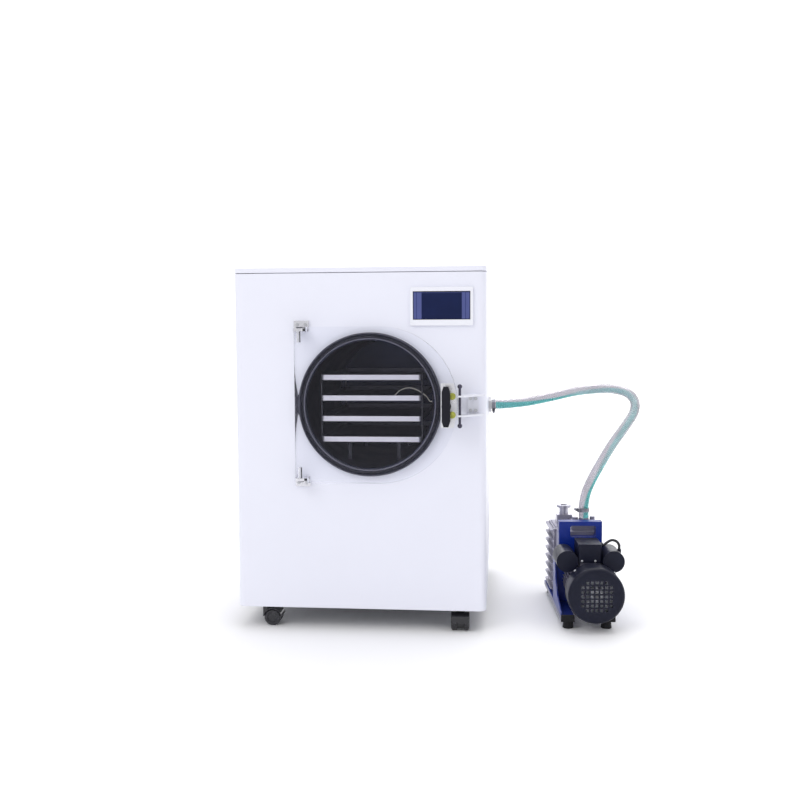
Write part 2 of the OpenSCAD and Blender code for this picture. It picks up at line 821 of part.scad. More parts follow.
module hinge_brackets() {
    arm_z = hinge_end + slip;
    color(steel) in_cabinet() for (e = [1, -1]) translate([hinge_x, 0, chamber_z])
        mirror([0, 0, e > 0 ? 0 : 1])
        difference() {
            union() {
                translate([0, 0, arm_z]) linear_extrude(hinge_t) {
                    translate([0, -hinge_y]) circle(hinge_r);
                    translate([-hinge_r, -hinge_y]) square([2 * hinge_r, hinge_y]);
                }
                translate([-hinge_r - 3, -4, arm_z]) cube([2 * hinge_r + 6, 4, hinge_h]);
                translate([0, -hinge_y, hinge_end - pin_depth])
                    cylinder(r = pin_r, h = pin_depth + hinge_t + 3);
                translate([0, -hinge_y, arm_z + hinge_t - past]) cylinder(r = pin_r + 3, h = 3 + past);
            }
            for (s = [-1, 1]) translate([s * 10, -4 - past, hinge_end + hinge_t + (hinge_h - hinge_t) / 2])
                along_y() cylinder(r = screw_hole_r, h = 4 + 2 * past);
        }
}

module door_panel() {
    color("#e6ecf4", 0.35) in_cabinet() difference() {
        union() {
            slab(-door_front, door_t) difference() {
                union() {
                    translate([door_x, chamber_z]) circle(door_r);
                    translate([hinge_x, chamber_z - door_r]) square([door_x - hinge_x, 2 * door_r]);
                }
                for (e = [-1, 1])
                    translate([hinge_x - past, chamber_z + (e > 0 ? hinge_end : -door_r - past)])
                    square([hinge_r + 3 + past, notch_h + past]);
            }
            translate([hinge_x, -hinge_y, chamber_z - hinge_end])
                cylinder(r = door_t / 2, h = 2 * hinge_end);
        }
        for (e = [-1, 1])
            translate([hinge_x, -hinge_y, chamber_z + e * (hinge_end - (pin_depth - slip) / 2)])
            cylinder(r = pin_r + fit, h = pin_depth + 3 * slip, center = true);
        translate([latch_x, -door_front - past, chamber_z]) along_y()
            cylinder(r = shaft_r + fit, h = door_t + 2 * past);
        for (e = [-1, 1]) translate([bolt_x, -door_front - past, chamber_z + e * bolt_z]) along_y()
            cylinder(r = bolt_r + slip, h = door_t + 2 * past);
    }
}

module latch_plate() {
    color(steel) in_cabinet() slab(-plate_front, plate_t) difference() {
        intersection() {
            translate([latch_x - 14, chamber_z - plate_h / 2]) square([60, plate_h]);
            translate([door_x, chamber_z]) circle(door_r - 0.8);
        }
        translate([latch_x, chamber_z]) circle(shaft_r + fit);
        for (e = [-1, 1]) translate([bolt_x, chamber_z + e * bolt_z]) circle(bolt_r + slip);
    }
}

module latch_bolts() {
    washer_t = 1.5;
    nut_t = 5;
    color(zinc) in_cabinet() for (e = [-1, 1]) translate([bolt_x, -plate_front, chamber_z + e * bolt_z])
        along_y() {
        cylinder(r = bolt_r, h = door_t + plate_t + nut_t);
        translate([0, 0, -washer_t]) cylinder(r = washer_r, h = washer_t);
        translate([0, 0, -bolt_h]) rotate(30) cylinder(r = bolt_head_r, h = bolt_h, $fn = 6);
        translate([0, 0, door_t + plate_t]) cylinder(r = bolt_head_r, h = nut_t, $fn = 6);
    }
}

module latch_cam() {
    color(steel) in_cabinet() translate([latch_x, 0, chamber_z]) {
        translate([0, -wing_back - wing_t / 2, 0]) along_y()
            cylinder(r = shaft_r, h = wing_back + wing_t / 2 - door_back);
        translate([0, -cam_front, 0]) along_y() cylinder(r = 10, h = cam_front - plate_front - slip);
        slab(-cam_front, cam_t) {
            translate([-cam_w / 2, 0]) square([cam_w, cam_tip - cam_w / 2]);
            translate([0, cam_tip - cam_w / 2]) circle(cam_w / 2);
        }
    }
}

module latch_knob() {
    taper = 12;
    end_w = wing_w - 8;
    color(black) in_cabinet() translate([latch_x, 0, chamber_z]) difference() {
        union() {
            slab(-wing_front, wing_t) polygon([
                [-wing_w / 2, taper - wing_l / 2], [-end_w / 2, -wing_l / 2],
                [end_w / 2, -wing_l / 2], [wing_w / 2, taper - wing_l / 2],
                [wing_w / 2, wing_l / 2 - taper], [end_w / 2, wing_l / 2],
                [-end_w / 2, wing_l / 2], [-wing_w / 2, wing_l / 2 - taper]
            ]);
            translate([0, -wing_back - past, 0]) along_y()
                cylinder(r = hub_r, h = wing_back - cam_front + past);
        }
        translate([0, -wing_back - wing_t / 2, 0]) along_y() cylinder(r = shaft_r + fit, h = wing_back);
    }
}

module strike_bracket() {
    color(white) in_cabinet() difference() {
        union() {
            translate([strike_in, -strike_t, chamber_z - ear_z - ear_t])
                cube([strike_out - strike_in, strike_t, ear_gap + 2 * ear_t]);
            for (z = [-ear_z - ear_t, ear_z]) translate([0, 0, chamber_z + z]) linear_extrude(ear_t)
                polygon([
                [strike_in, 0], [strike_out, 0], [half_w - 3, -strike_t - 6], [half_w - 3, -strike_t - 18],
                [rod_x + 9, -ear_front], [ear_in, -ear_front],
                [ear_in, rod_r + 6 - rod_y], [strike_in, -strike_t - 10]
            ]);
        }
        translate([rod_x, -rod_y, chamber_z])
            cylinder(r = rod_r + fit, h = ear_gap + 4 * ear_t, center = true);
        screw_holes(strike_screws(), 0);
    }
}

// Rod with a ball nut on each end, whose flat faces the rod
module strike_rod() {
    ball_r = rod_r + 2.5;
    flat = 4;
    ball_z = rod_l / 2 - ball_r;
    color("#4a4c58") in_cabinet() translate([rod_x, -rod_y, chamber_z]) {
        cylinder(r = rod_r, h = 2 * (ball_z - flat - fit), center = true);
        for (e = [0, 1]) mirror([0, 0, e]) translate([0, 0, ball_z]) intersection() {
            sphere(ball_r, $fn = 48);
            translate([-ball_r, -ball_r, -flat]) cube([2 * ball_r, 2 * ball_r, 2 * ball_r]);
        }
    }
}

// ---- Controls ----

module screen_bezel() {
    color(white) in_cabinet() translate([bezel_x, 0, bezel_z]) difference() {
        union() {
            slab(-bezel_t, bezel_t) round_rect(bezel_w, bezel_h, 4);
            slab(-past, housing_d + past) square([housing_w, housing_h], center = true);
        }
        translate([0, 0, glass_rise]) {
            slab(-bezel_t - past, glass_t + past) square([glass_w, glass_h], center = true);
            slab(-bezel_t, bezel_t + housing_d - 2) square([glass_w - 8, glass_h - 8], center = true);
        }
    }
}

module screen_glass() {
    color(navy) in_cabinet() translate([bezel_x, 0, bezel_z + glass_rise])
        slab(-bezel_t, glass_t) square([glass_w - 0.4, glass_h - 0.4], center = true);
}

module electrical_box() {
    wall = 2;
    color("#9aa0a8") in_cabinet()
        translate([box_x, inner_rear + sheet_t - box_d, top_z - lid_h - 12 - box_h]) difference() {
        translate([-box_w / 2, 0, 0]) cube([box_w, box_d, box_h]);
        translate([wall - box_w / 2, wall, wall])
            cube([box_w - 2 * wall, box_d - 2 * wall, box_h - 2 * wall]);
    }
}

module power_inlet() {
    flange = 3;
    color(black) in_cabinet() translate([inlet_x, cabinet_d, inlet_z]) difference() {
        union() {
            slab(0, flange) round_rect(54, 76, 4);
            slab(-24, 24 + past) square([46, 66], center = true);
        }
        // Socket for the mains lead, with its three pins left standing
        difference() {
            slab(-16, 30) translate([0, -14]) round_rect(27, 19, 3);
            for (x = [-7, 0, 7]) slab(-17, 14) translate([x, x == 0 ? -12 : -16])
                square([2, 4], center = true);
        }
        // Opening of the switch, and the holes of its pivot
        slab(-9, 30) translate([0, switch_z]) square([switch_w + 1, 27], center = true);
        translate([0, switch_out, switch_z]) along_x()
            cylinder(r = pivot_r + fit, h = switch_w + 6, center = true);
    }
}

module main_switch() {
    tilt = 8;
    color("#2a2b30") in_cabinet() translate([inlet_x, cabinet_d + switch_out, inlet_z + switch_z])
        rotate([tilt, 0, 0]) {
        slab(-5, 9) square([switch_w, 23], center = true);
        along_x() cylinder(r = pivot_r, h = switch_w + 5, center = true);
    }
}

// ---- Cooling machine ----

module compressor() {
    dome = 0.35 * compressor_r;
    sphere_r = (pow(compressor_r, 2) + pow(dome, 2)) / (2 * dome);
    color(black) in_cabinet() translate([compressor_x, compressor_y, compressor_z]) {
        cylinder(r = compressor_r, h = compressor_h - dome);
        intersection() {
            translate([0, 0, compressor_h - sphere_r]) sphere(sphere_r);
            translate([0, 0, compressor_h - dome - past]) cylinder(r = compressor_r, h = dome + past);
        }
        translate([-compressor_r - 8, -compressor_r + 10, 0])
            cube([2 * compressor_r + 16, 2 * compressor_r - 20, 3]);
        for (x = [-1, 1], y = [-1, 1])
            translate([x * (compressor_r - 5), y * (compressor_r - 22), pan_top - compressor_z])
            cylinder(r = 11, h = compressor_z - pan_top + past);
    }
}

module condenser() {
    fins = 24;
    pitch = (condenser_w - 3) / fins;
    color("#c4c8cf") in_cabinet() translate([condenser_x - condenser_w / 2, condenser_y, condenser_z]) {
        for (i = [0:fins]) translate([i * pitch, 0, 0])
            cube([i % fins == 0 ? 3 : 1, condenser_d, condenser_h]);
        for (i = [0:5]) translate([0, condenser_d / 2, (i + 0.5) * condenser_h / 6]) along_x()
            cylinder(r = 5, h = condenser_w, $fn = 24);
        // Foot that stands on the floor pan
        translate([0, 4, pan_top - condenser_z]) cube([condenser_w, 3, condenser_z - pan_top + 2]);
    }
}

module fan_housing() {
    depth = cabinet_d - sheet_t - duct_front;
    color("#3a3d42") in_cabinet() translate([condenser_x, 0, 0]) {
        difference() {
            translate([-condenser_w / 2, duct_front, condenser_z]) cube([condenser_w, depth, condenser_h]);
            translate([duct_t - condenser_w / 2, duct_front - past, condenser_z + duct_t])
                cube([condenser_w - 2 * duct_t, depth - duct_t + past, condenser_h - 2 * duct_t]);
            translate([0, duct_front, fan_z]) along_y() cylinder(r = fan_r + 3, h = depth + past);
        }
        // Motor on three arms in front of the blade
        translate([0, fan_y - 40, fan_z]) along_y() cylinder(r = fan_motor_r, h = 34);
        translate([0, fan_y - 8, fan_z]) along_y() cylinder(r = 4, h = 24);
        for (z = [-1, 1]) translate([-4, fan_y - 30, z > 0 ? fan_z : condenser_z + duct_t / 2])
            cube([8, 6, condenser_h / 2 - duct_t / 2]);
    }
}

module fan_blade() {
    blades = 5;
    color("#2c2f34") in_cabinet() translate([condenser_x, fan_y, fan_z]) along_y() difference() {
        union() {
            cylinder(r = fan_motor_r - 4, h = 18);
            for (i = [0:blades - 1]) rotate(360 * i / blades) translate([0, -22, 9]) rotate([0, 28, 0])
                translate([-1, 0, 0]) intersection() {
                    translate([0, 40, -9]) cube([2, fan_r - 22, 18]);
                    translate([-fan_r, 0, -20]) cube([2 * fan_r, 2 * fan_r, 40]);
                }
            for (i = [0:blades - 1]) rotate(360 * i / blades) translate([-3, 15, 7]) cube([6, 10, 4]);
        }
        translate([0, 0, -past]) cylinder(r = 4 + fit, h = 16 + past + slip);
    }
}

module refrigerant_pipes() {
    coil_bottom = chamber_z - coil_path_r - coil_r - slip;
    side = compressor_r + slip;
    color(copper) in_cabinet() {
        // Hot gas, compressor to condenser
        pipe([[compressor_x, compressor_y + side, gas_z], [compressor_x, pipe_y, gas_z],
              [condenser_x + 60, pipe_y, gas_z], [condenser_x + 60, condenser_y - slip, gas_z]], pipe_r);
        // Liquid line with its drier, condenser to the coil's rear end
        pipe([[condenser_x - 60, condenser_y - slip, pipe_z], [condenser_x - 60, coil_rear, pipe_z],
              [chamber_x, coil_rear, pipe_z], [chamber_x, coil_rear, coil_bottom]], pipe_r);
        translate([condenser_x - 20, coil_rear, pipe_z]) along_x() cylinder(r = 14, h = 100, $fn = 48);
        // Suction line, the coil's front end to the compressor
        pipe([[chamber_x, coil_front, coil_bottom], [chamber_x, coil_front, suction_z],
              [compressor_x, coil_front, suction_z], [compressor_x, compressor_y - side, suction_z]], pipe_r);
    }
}

// ---- Vacuum line and drain ----

module vacuum_port() {
    color(steel) in_cabinet() translate([0, port_y, port_z]) along_x() difference() {
        union() {
            translate([0, 0, stub_end]) cylinder(r = stub_r, h = half_w - stub_end + past);
            translate([0, 0, half_w - sheet_t - 7]) cylinder(r = 21, h = 7, $fn = 6);
            translate([0, 0, half_w]) cylinder(r = 21, h = port_nut, $fn = 6);
            translate([0, 0, half_w]) cylinder(r = hose_r, h = port_nut + port_l);
        }
        translate([0, 0, stub_end - past]) cylinder(r = bore_r, h = half_w);
    }
}

// Worm-drive clamp round a spigot along z, centred on the origin
module clamp() {
    inner = hose_r + slip;
    difference() {
        union() {
            cylinder(r = inner + clamp_t, h = clamp_w, center = true);
            translate([inner, 0, 0]) cube([8, 13, clamp_w], center = true);
            translate([inner + 4, -2, 0]) rotate([90, 0, 0]) cylinder(r = 3.4, h = 13, $fn = 24);
        }
        cylinder(r = inner, h = clamp_w + 2 * past, center = true);
    }
}

module hose_clamps() {
    color("#6d7078") {
        in_cabinet() translate([port_end - port_l / 2, port_y, port_z]) rotate([0, 90, 0]) rotate(20)
            clamp();
        in_cabinet() translate([hose_x, hose_y, hose_clamp_z]) rotate(200) clamp();
    }
}

module vacuum_hose() {
    color("#bfe0dc", 0.6) in_cabinet() tube(curve(hose_route, 18), hose_r, 12, [1, 0, 0], [0, 0, -1]);
}

module drain_valve() {
    color(steel) in_cabinet() translate([chamber_x, 0, drain_z]) {
        difference() {
            union() {
                translate([0, drain_stub_end, 0]) along_y()
                    cylinder(r = drain_r, h = drain_end - drain_stub_end);
                translate([0, cabinet_d, 0]) along_y() cylinder(r = 15, h = valve_nut, $fn = 6);
                translate([0, cabinet_d + valve_nut, 0]) along_y() cylinder(r = valve_r, h = valve_l);
            }
            translate([0, drain_stub_end - past, 0]) along_y()
                cylinder(r = drain_r - 2.5, h = valve_y - drain_stub_end - 6);
            translate([0, drain_end - drain_l - 6, 0]) along_y()
                cylinder(r = drain_r - 2.5, h = drain_l + 6 + past);
        }
        translate([0, valve_y, 0]) cylinder(r = stem_r, h = valve_r + 12);
    }
}

module drain_handle() {
    color("#b03030") in_cabinet() translate([chamber_x, valve_y, handle_z - 3]) difference() {
        union() {
            cylinder(r = stem_r + 4, h = 6);
            translate([0, -6, 1.5]) cube([handle_l - 6, 12, 3]);
            translate([handle_l - 6, 0, 1.5]) cylinder(r = 6, h = 3);
        }
        translate([0, 0, -past]) cylinder(r = stem_r + fit, h = 6 + 2 * past);
    }
}

// ---- Casters ----

module at_caster(i) {
    in_cabinet() translate([caster_at[i][0], caster_at[i][1], 0]) rotate([0, 0, caster_turn[i]]) children();
}

module hood(i) {
    outer = wheel_r + hood_gap + hood_t;
    color(black) at_caster(i) difference() {
        union() {
            // Cover over both wheels, and the web between them
            translate([-hood_half, -trail, wheel_r]) along_x() difference() {
                cylinder(r = outer, h = 2 * hood_half);
                for (s = [-1, 1]) translate([0, 0, hood_half + s * (hood_half + web_t) / 2 + s * past])
                    cylinder(r = wheel_r + hood_gap, h = 2 * hood_half - web_t + past, center = true);
                translate([-3, -outer - past, -past])
                    cube([2 * outer, 2 * outer + 2 * past, 2 * hood_half + 2 * past]);
            }
            translate([-web_t / 2, -trail, wheel_r]) along_x() cylinder(r = wheel_r - 5, h = web_t);
            translate([-web_t / 2, -trail, wheel_r]) cube([web_t, trail + stud_r + 4, wheel_r + hood_gap]);
            translate([0, 0, 2 * wheel_r + hood_gap])
                cylinder(r = boss_r, h = base_z - slip - 2 * wheel_r - hood_gap);
            translate([-web_t / 2, -trail, 2 * wheel_r])
                cube([web_t, trail, base_z - slip - 2 * wheel_r - 2]);
        }
        translate([0, 0, base_z - stud_l - 1]) cylinder(r = stud_r + fit, h = stud_l + 1);
        translate([-web_t, -trail, wheel_r]) along_x() cylinder(r = axle_r + fit, h = 2 * web_t);
    }
}

module wheels(i) {
    inside = web_t / 2 + 0.6;
    outside = inside + wheel_w;
    chamfer = 2.5;
    color(black) at_caster(i) translate([0, -trail, wheel_r]) along_x() {
        cylinder(r = axle_r, h = 2 * inside + 2, center = true);
        for (s = [0, 1]) mirror([0, 0, s]) rotate_extrude() polygon([
            [0, inside], [wheel_r - 1, inside], [wheel_r, inside + 1], [wheel_r, outside - chamfer],
            [wheel_r - chamfer, outside], [wheel_r * 0.62, outside], [wheel_r * 0.55, outside - 2],
            [wheel_r * 0.2, outside - 2], [0, outside - 1]
        ]);
    }
}

module caster_hood_fl() {
    hood(0);
}

module caster_hood_fr() {
    hood(1);
}

module caster_hood_rl() {
    hood(2);
}

module caster_hood_rr() {
    hood(3);
}

module caster_wheels_fl() {
    wheels(0);
}

module caster_wheels_fr() {
    wheels(1);
}

module caster_wheels_rl() {
    wheels(2);
}

module caster_wheels_rr() {
    wheels(3);
}

// ---- Pump ----

module pump_frame() {
    half = frame_w / 2;
    web = 3;
    rail_back = oil_back - 8;
    color(pump_blue) in_pump() difference() {
        union() {
            // Upright plate with the carrying handle, wide at the foot and narrow above the motor
            slab(frame_front, frame_t) difference() {
                translate([body_x, 0]) polygon([
                    [-half, foot_h], [half, foot_h], [half, shoulder_z], [plate_w / 2, shoulder_z + 10],
                    [plate_w / 2, frame_h], [-plate_w / 2, frame_h], [-plate_w / 2, shoulder_z + 10],
                    [-half, shoulder_z]
                ]);
                translate([handle_x, frame_h - handle_bar - handle_gap_h / 2])
                    round_rect(handle_gap_w, handle_gap_h, 5);
            }
            // Rails, and the webs that brace the plate on them
            for (s = [-1, 1]) {
                translate([body_x + (s > 0 ? half - rail_w : -half), rail_front, foot_h])
                    cube([rail_w, rail_back - rail_front, rail_h]);
                translate([body_x + (s > 0 ? half - web : -half), 0, 0]) rotate([90, 0, 90])
                    linear_extrude(web) polygon([
                    [rail_front, foot_h + 2], [frame_front + past, foot_h + 2],
                    [frame_front + past, shoulder_z], [frame_front - 7, shoulder_z - 2],
                    [frame_front - 20, foot_h + 75], [frame_front - 58, foot_h + 42],
                    [cover_l + 4, foot_h + 25], [rail_front, foot_h + 22]
                ]);
            }
        }
        translate([0, frame_front - past, motor_z]) along_y() cylinder(r = 30, h = frame_t + 2 * past);
        translate([0, cover_l / 2, motor_z]) along_y()
            cylinder(r = motor_r + slip, h = frame_front - cover_l / 2);
        translate([0, -past, motor_z]) along_y() cylinder(r = cover_r + slip, h = cover_l + slip + past);
    }
}

// Rubber feet under the rails, and the caps on the rails' front ends
module pump_feet() {
    cap_t = 6;
    color(black) in_pump() {
        for (x = [-foot_x, foot_x], y = [foot_front, foot_back]) translate([body_x + x, y, 0])
            rotate_extrude() polygon([
                [0, 0], [foot_r - 1, 0], [foot_r, 1], [foot_r - 2, foot_h], [0, foot_h]
            ]);
        for (s = [-1, 1]) difference() {
            translate([body_x + s * (frame_w - rail_w) / 2 - rail_w / 2, rail_front - cap_t, foot_h - 1])
                cube([rail_w, cap_t, rail_h + 4]);
            translate([0, -past, motor_z]) along_y() cylinder(r = cover_r + slip, h = cover_l + past);
        }
    }
}

module oil_case() {
    wall = 4;
    body_w = oil_w - 2 * fin_h;
    flange_w = body_w + 4;
    open_front = 16;
    fins = 8;
    fin_pitch = (oil_top - oil_bottom - 12) / (fins - 1);
    color(pump_grey) in_pump() difference() {
        union() {
            translate([body_x, (oil_front + oil_back) / 2, oil_bottom])
                linear_extrude(oil_top - oil_bottom) round_rect(body_w, oil_l - 2 * fin_h, 8);
            translate([body_x - flange_w / 2, oil_front, oil_bottom])
                cube([flange_w, fin_h + 10, oil_top - oil_bottom]);
            for (i = [0:fins - 1])
                translate([body_x, (oil_front + oil_back) / 2 + 4, oil_bottom + 4 + i * fin_pitch])
                linear_extrude(fin_t) round_rect(oil_w, oil_l - 8, 12);
            translate([body_x - 50, oil_front + 12, oil_top - past]) cube([100, 100, oil_lid_t + past]);
        }
        translate([body_x + wall - body_w / 2, oil_front - open_front, oil_bottom + wall])
            cube([body_w - 2 * wall, open_front + oil_l - fin_h - wall, oil_top - oil_bottom - 2 * wall]);
        translate([exhaust_at[0], exhaust_at[1], oil_top - 10]) cylinder(r = 11 + fit, h = 20);
        translate([body_x, oil_back - 20, oil_bottom + 55]) along_y() cylinder(r = 14 + fit, h = 30);
        translate([body_x - frame_w / 2 - past, oil_front - past, 0])
            cube([frame_w + 2 * past, oil_l + 2 * past, foot_h + rail_h + slip / 2]);
    }
}

module sight_glass() {
    color("#d9c98a", 0.7) in_pump() translate([body_x, 0, oil_bottom + 55]) along_y() {
        translate([0, 0, oil_back - 14]) cylinder(r = 14, h = 14);
        translate([0, 0, oil_back]) cylinder(r = 17, h = 3);
    }
}

module exhaust_fitting() {
    base = oil_top + oil_lid_t;
    color(steel) in_pump() translate([exhaust_at[0], exhaust_at[1], 0]) difference() {
        union() {
            translate([0, 0, base - 8]) cylinder(r = 11, h = 8);
            translate([-20, -18, base]) cube([40, 36, 24]);
            translate([0, 0, base + 23]) cylinder(r = 11.5, h = 20);
            translate([0, 0, base + 42]) cylinder(r = 18.5, h = 6);
        }
        translate([0, 0, base + 16]) cylinder(r = 9, h = 40);
    }
}

// Block with the hose's spigot, a plug to the right and the gas ballast's knob to the left
module inlet_fitting() {
    color(pump_grey) in_pump() translate([inlet_at[0], inlet_at[1], 0]) {
        difference() {
            union() {
                translate([-31, -15, module_top]) cube([60, 30, inlet_block]);
                translate([0, 0, inlet_top - past]) cylinder(r = hose_r, h = hose_z - inlet_top + past);
            }
            translate([0, 0, module_top - past]) cylinder(r = bore_r, h = 60);
        }
        translate([22, 0, inlet_top - past]) cylinder(r = 6.5, h = 9 + past, $fn = 6);
        translate([-22, 0, inlet_top - past]) cylinder(r = 7.5, h = 7 + past);
    }
}

module pump_module() {
    color(pump_grey) in_pump() difference() {
        union() {
            translate([body_x - 52, frame_back, 44])
                cube([104, oil_front - frame_back, module_top - 44]);
            translate([0, oil_front - past, vane_case_z]) along_y()
                cylinder(r = vane_case_r, h = vane_case_l + past);
        }
        translate([0, frame_back - past, motor_z]) along_y() cylinder(r = pump_shaft_r + fit, h = 40);
        translate([inlet_at[0], inlet_at[1], module_top - 30]) cylinder(r = bore_r, h = 31);
    }
}

module motor_body() {
    ribs = 40;
    length = frame_front - motor_front;
    inside = 12;
    color(pump_grey) in_pump() translate([0, motor_front, motor_z]) difference() {
        union() {
            along_y() cylinder(r = motor_r - rib_h, h = length);
            for (i = [0:ribs - 1]) rotate([0, 360 * i / ribs, 0])
                translate([-1, cover_l - motor_front + 1, motor_r - rib_h - past])
                    cube([2, length - (cover_l - motor_front) - 1, rib_h + past]);
            // Seats of the terminal box and of the two capacitors
            translate([box_mid - 24, term_front - motor_front + 6, motor_r - rib_h - 8])
                cube([48, term_l - 12, rib_h + 8 + term_rise]);
            for (c = [cap_left, cap_right]) rotate([0, atan2(c[0], c[1]), 0]) for (y = [30, 68])
                translate([-8, y, motor_r - rib_h - 3])
                    cube([16, 12, norm(c) - cap_r - motor_r + rib_h + 3]);
        }
        translate([0, inside, 0]) along_y() cylinder(r = motor_r - stator_wall, h = length - 2 * inside);
        translate([0, -past, 0]) along_y() cylinder(r = pump_shaft_r + fit, h = length + 2 * past);
    }
}

module motor_rotor() {
    shaft_front = vane_y - 2;
    shaft_back = frame_back + 20;
    end = 24;
    color(steel) in_pump() translate([0, 0, motor_z]) along_y() {
        translate([0, 0, shaft_front]) cylinder(r = pump_shaft_r, h = shaft_back - shaft_front);
        translate([0, 0, motor_front + end])
            cylinder(r = motor_r - stator_wall - past, h = frame_front - motor_front - 2 * end);
    }
}

module motor_fan() {
    blades = 8;
    color("#2c2f34") in_pump() translate([0, vane_y, motor_z]) along_y() difference() {
        union() {
            cylinder(r = 16, h = 20);
            translate([0, 0, 17]) cylinder(r = cover_r - 14, h = 2);
            for (i = [0:blades - 1]) rotate(360 * i / blades) translate([10, -1, 0])
                cube([cover_r - 26, 2, 18]);
        }
        translate([0, 0, -past]) cylinder(r = pump_shaft_r + fit, h = 30);
    }
}

module fan_cover() {
    wall = 2;
    pitch = 11;
    hole = 7;
    arc = [for (a = [0:15:90])
        [cover_r - cover_round + cover_round * sin(a), cover_round - cover_round * cos(a)]];
    bend = cover_round - wall;
    arc_in = [for (a = [90:-15:0]) [cover_r - cover_round + bend * sin(a), cover_round - bend * cos(a)]];
    color(black) in_pump() translate([0, 0, motor_z]) difference() {
        along_y() rotate_extrude()
            polygon(concat(
                [[0, 0]], arc, [[cover_r, cover_l], [cover_r - wall, cover_l]], arc_in, [[0, wall]]
            ));
        for (i = [-4:4], j = [-4:4])
            if (norm([i, j]) * pitch < 42) slab(-past, wall + 2 * past) translate([i * pitch, j * pitch])
                square(hole, center = true);
    }
    // Ring inside the rim that seats the cover on the motor
    color(black) in_pump() translate([0, motor_front + 2, motor_z]) along_y() difference() {
        cylinder(r = cover_r - wall / 2, h = cover_l - motor_front - 2);
        translate([0, 0, -past]) cylinder(r = motor_r - rib_h + slip / 2, h = cover_l);
    }
}

module terminal_box() {
    wall = 2;
    color(black) in_pump() difference() {
        union() {
            translate([box_mid, term_front + term_l / 2, term_z]) linear_extrude(term_h)
                round_rect(term_w, term_l, 5);
            translate([box_mid + term_w / 2 - past, lead_y, term_z + 38]) along_x()
                cylinder(r = 6, h = 6 + past, $fn = 32);
        }
        translate([box_mid, term_front + term_l / 2, term_z + wall]) linear_extrude(term_h - 2 * wall)
            round_rect(term_w - 2 * wall, term_l - 2 * wall, 3);
    }
}

module capacitor_covers() {
    color(black) in_pump() for (c = [cap_left, cap_right])
        translate([c[0], c == cap_left ? cap_front + 10 : cap_front, motor_z + c[1]]) {
        along_y() cylinder(r = cap_r, h = cap_l - 6);
        along_y() translate([0, 0, cap_l - 7]) cylinder(r = cap_r - 4, h = 7);
        // Entry of the lead
        if (c == cap_right) translate([lead_x - c[0], lead_y - cap_front, 0])
            cylinder(r = 5, h = lead_z - motor_z - c[1], $fn = 32);
    }
}

module capacitor_lead() {
    color(black) in_pump() tube(curve(lead_route, 8), 3.2, 8, [1, 0, 0], [0, 0, -1]);
}

base_frame();
cabinet_wrap();
rear_panel();
top_lid();
cabinet_screws();
vacuum_chamber();
door_gasket();
chamber_insulation();
evaporator_coil();
shelf_rack();
tray_1();
tray_2();
tray_3();
tray_4();
probe_lead();
hinge_brackets();
strike_bracket();
strike_rod();
screen_bezel();
screen_glass();
electrical_box();
power_inlet();
main_switch();
compressor();
condenser();
fan_housing();
fan_blade();
refrigerant_pipes();
vacuum_port();
hose_clamps();
vacuum_hose();
drain_valve();
drain_handle();
door_panel();
latch_plate();
latch_bolts();
latch_cam();
latch_knob();
pump_frame();
oil_case();
sight_glass();
exhaust_fitting();
inlet_fitting();
pump_module();
motor_body();
motor_rotor();
motor_fan();
fan_cover();
terminal_box();
capacitor_covers();
capacitor_lead();
pump_feet();
caster_hood_fl();
caster_hood_fr();
caster_hood_rl();
caster_hood_rr();
caster_wheels_fl();
caster_wheels_fr();
caster_wheels_rl();
caster_wheels_rr();
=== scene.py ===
"""Looks of a laboratory freeze dryer: the cabinet with its round chamber and clear door, and the
vacuum pump that a clear hose joins to it.

The solid model is loaded as it is. Each operator below dresses one group of its pieces, or adds
pieces of its own. Lengths are in metres, +X to the right, +Y to the rear and +Z up.
"""

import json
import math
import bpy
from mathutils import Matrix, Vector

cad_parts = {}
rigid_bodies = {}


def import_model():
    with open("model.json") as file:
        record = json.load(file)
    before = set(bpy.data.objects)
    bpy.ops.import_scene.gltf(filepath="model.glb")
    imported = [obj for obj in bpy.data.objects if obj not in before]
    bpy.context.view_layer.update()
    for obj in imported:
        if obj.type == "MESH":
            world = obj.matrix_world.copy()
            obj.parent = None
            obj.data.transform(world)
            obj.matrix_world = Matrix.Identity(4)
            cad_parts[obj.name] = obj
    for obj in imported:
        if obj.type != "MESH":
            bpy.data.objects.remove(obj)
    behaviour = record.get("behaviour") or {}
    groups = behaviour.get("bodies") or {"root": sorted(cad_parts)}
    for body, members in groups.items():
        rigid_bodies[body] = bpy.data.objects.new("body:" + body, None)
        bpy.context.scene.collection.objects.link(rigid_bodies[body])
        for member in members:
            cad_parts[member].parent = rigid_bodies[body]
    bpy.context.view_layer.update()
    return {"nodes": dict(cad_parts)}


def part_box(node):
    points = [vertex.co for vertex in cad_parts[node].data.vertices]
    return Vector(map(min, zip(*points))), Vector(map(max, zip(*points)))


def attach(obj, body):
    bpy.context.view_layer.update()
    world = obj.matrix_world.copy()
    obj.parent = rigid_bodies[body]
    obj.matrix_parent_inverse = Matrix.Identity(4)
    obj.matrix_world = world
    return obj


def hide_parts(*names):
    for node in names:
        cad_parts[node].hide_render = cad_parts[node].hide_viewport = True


bl_info = {
    "name": "Freeze Dryer Looks",
    "version": (1, 0, 0),
    "blender": (4, 5, 0),
    "location": "View3D > Sidebar > Freeze Dryer",
    "description": "Finishes, hose, leads and studio for a laboratory freeze dryer",
    "category": "Object",
}

import bpy
import numpy as np
from bpy.props import FloatProperty, FloatVectorProperty, IntProperty, PointerProperty

for thing in list(bpy.data.objects):
    bpy.data.objects.remove(thing)
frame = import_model()
NODES = frame["nodes"]

# The cabinet's frame: its origin is on the floor, under the middle of the cabinet's front face
WRAP_LOW, WRAP_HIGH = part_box("cabinet_wrap")
CABINET = np.array([(WRAP_LOW.x + WRAP_HIGH.x) / 2, WRAP_LOW.y, 0.0])

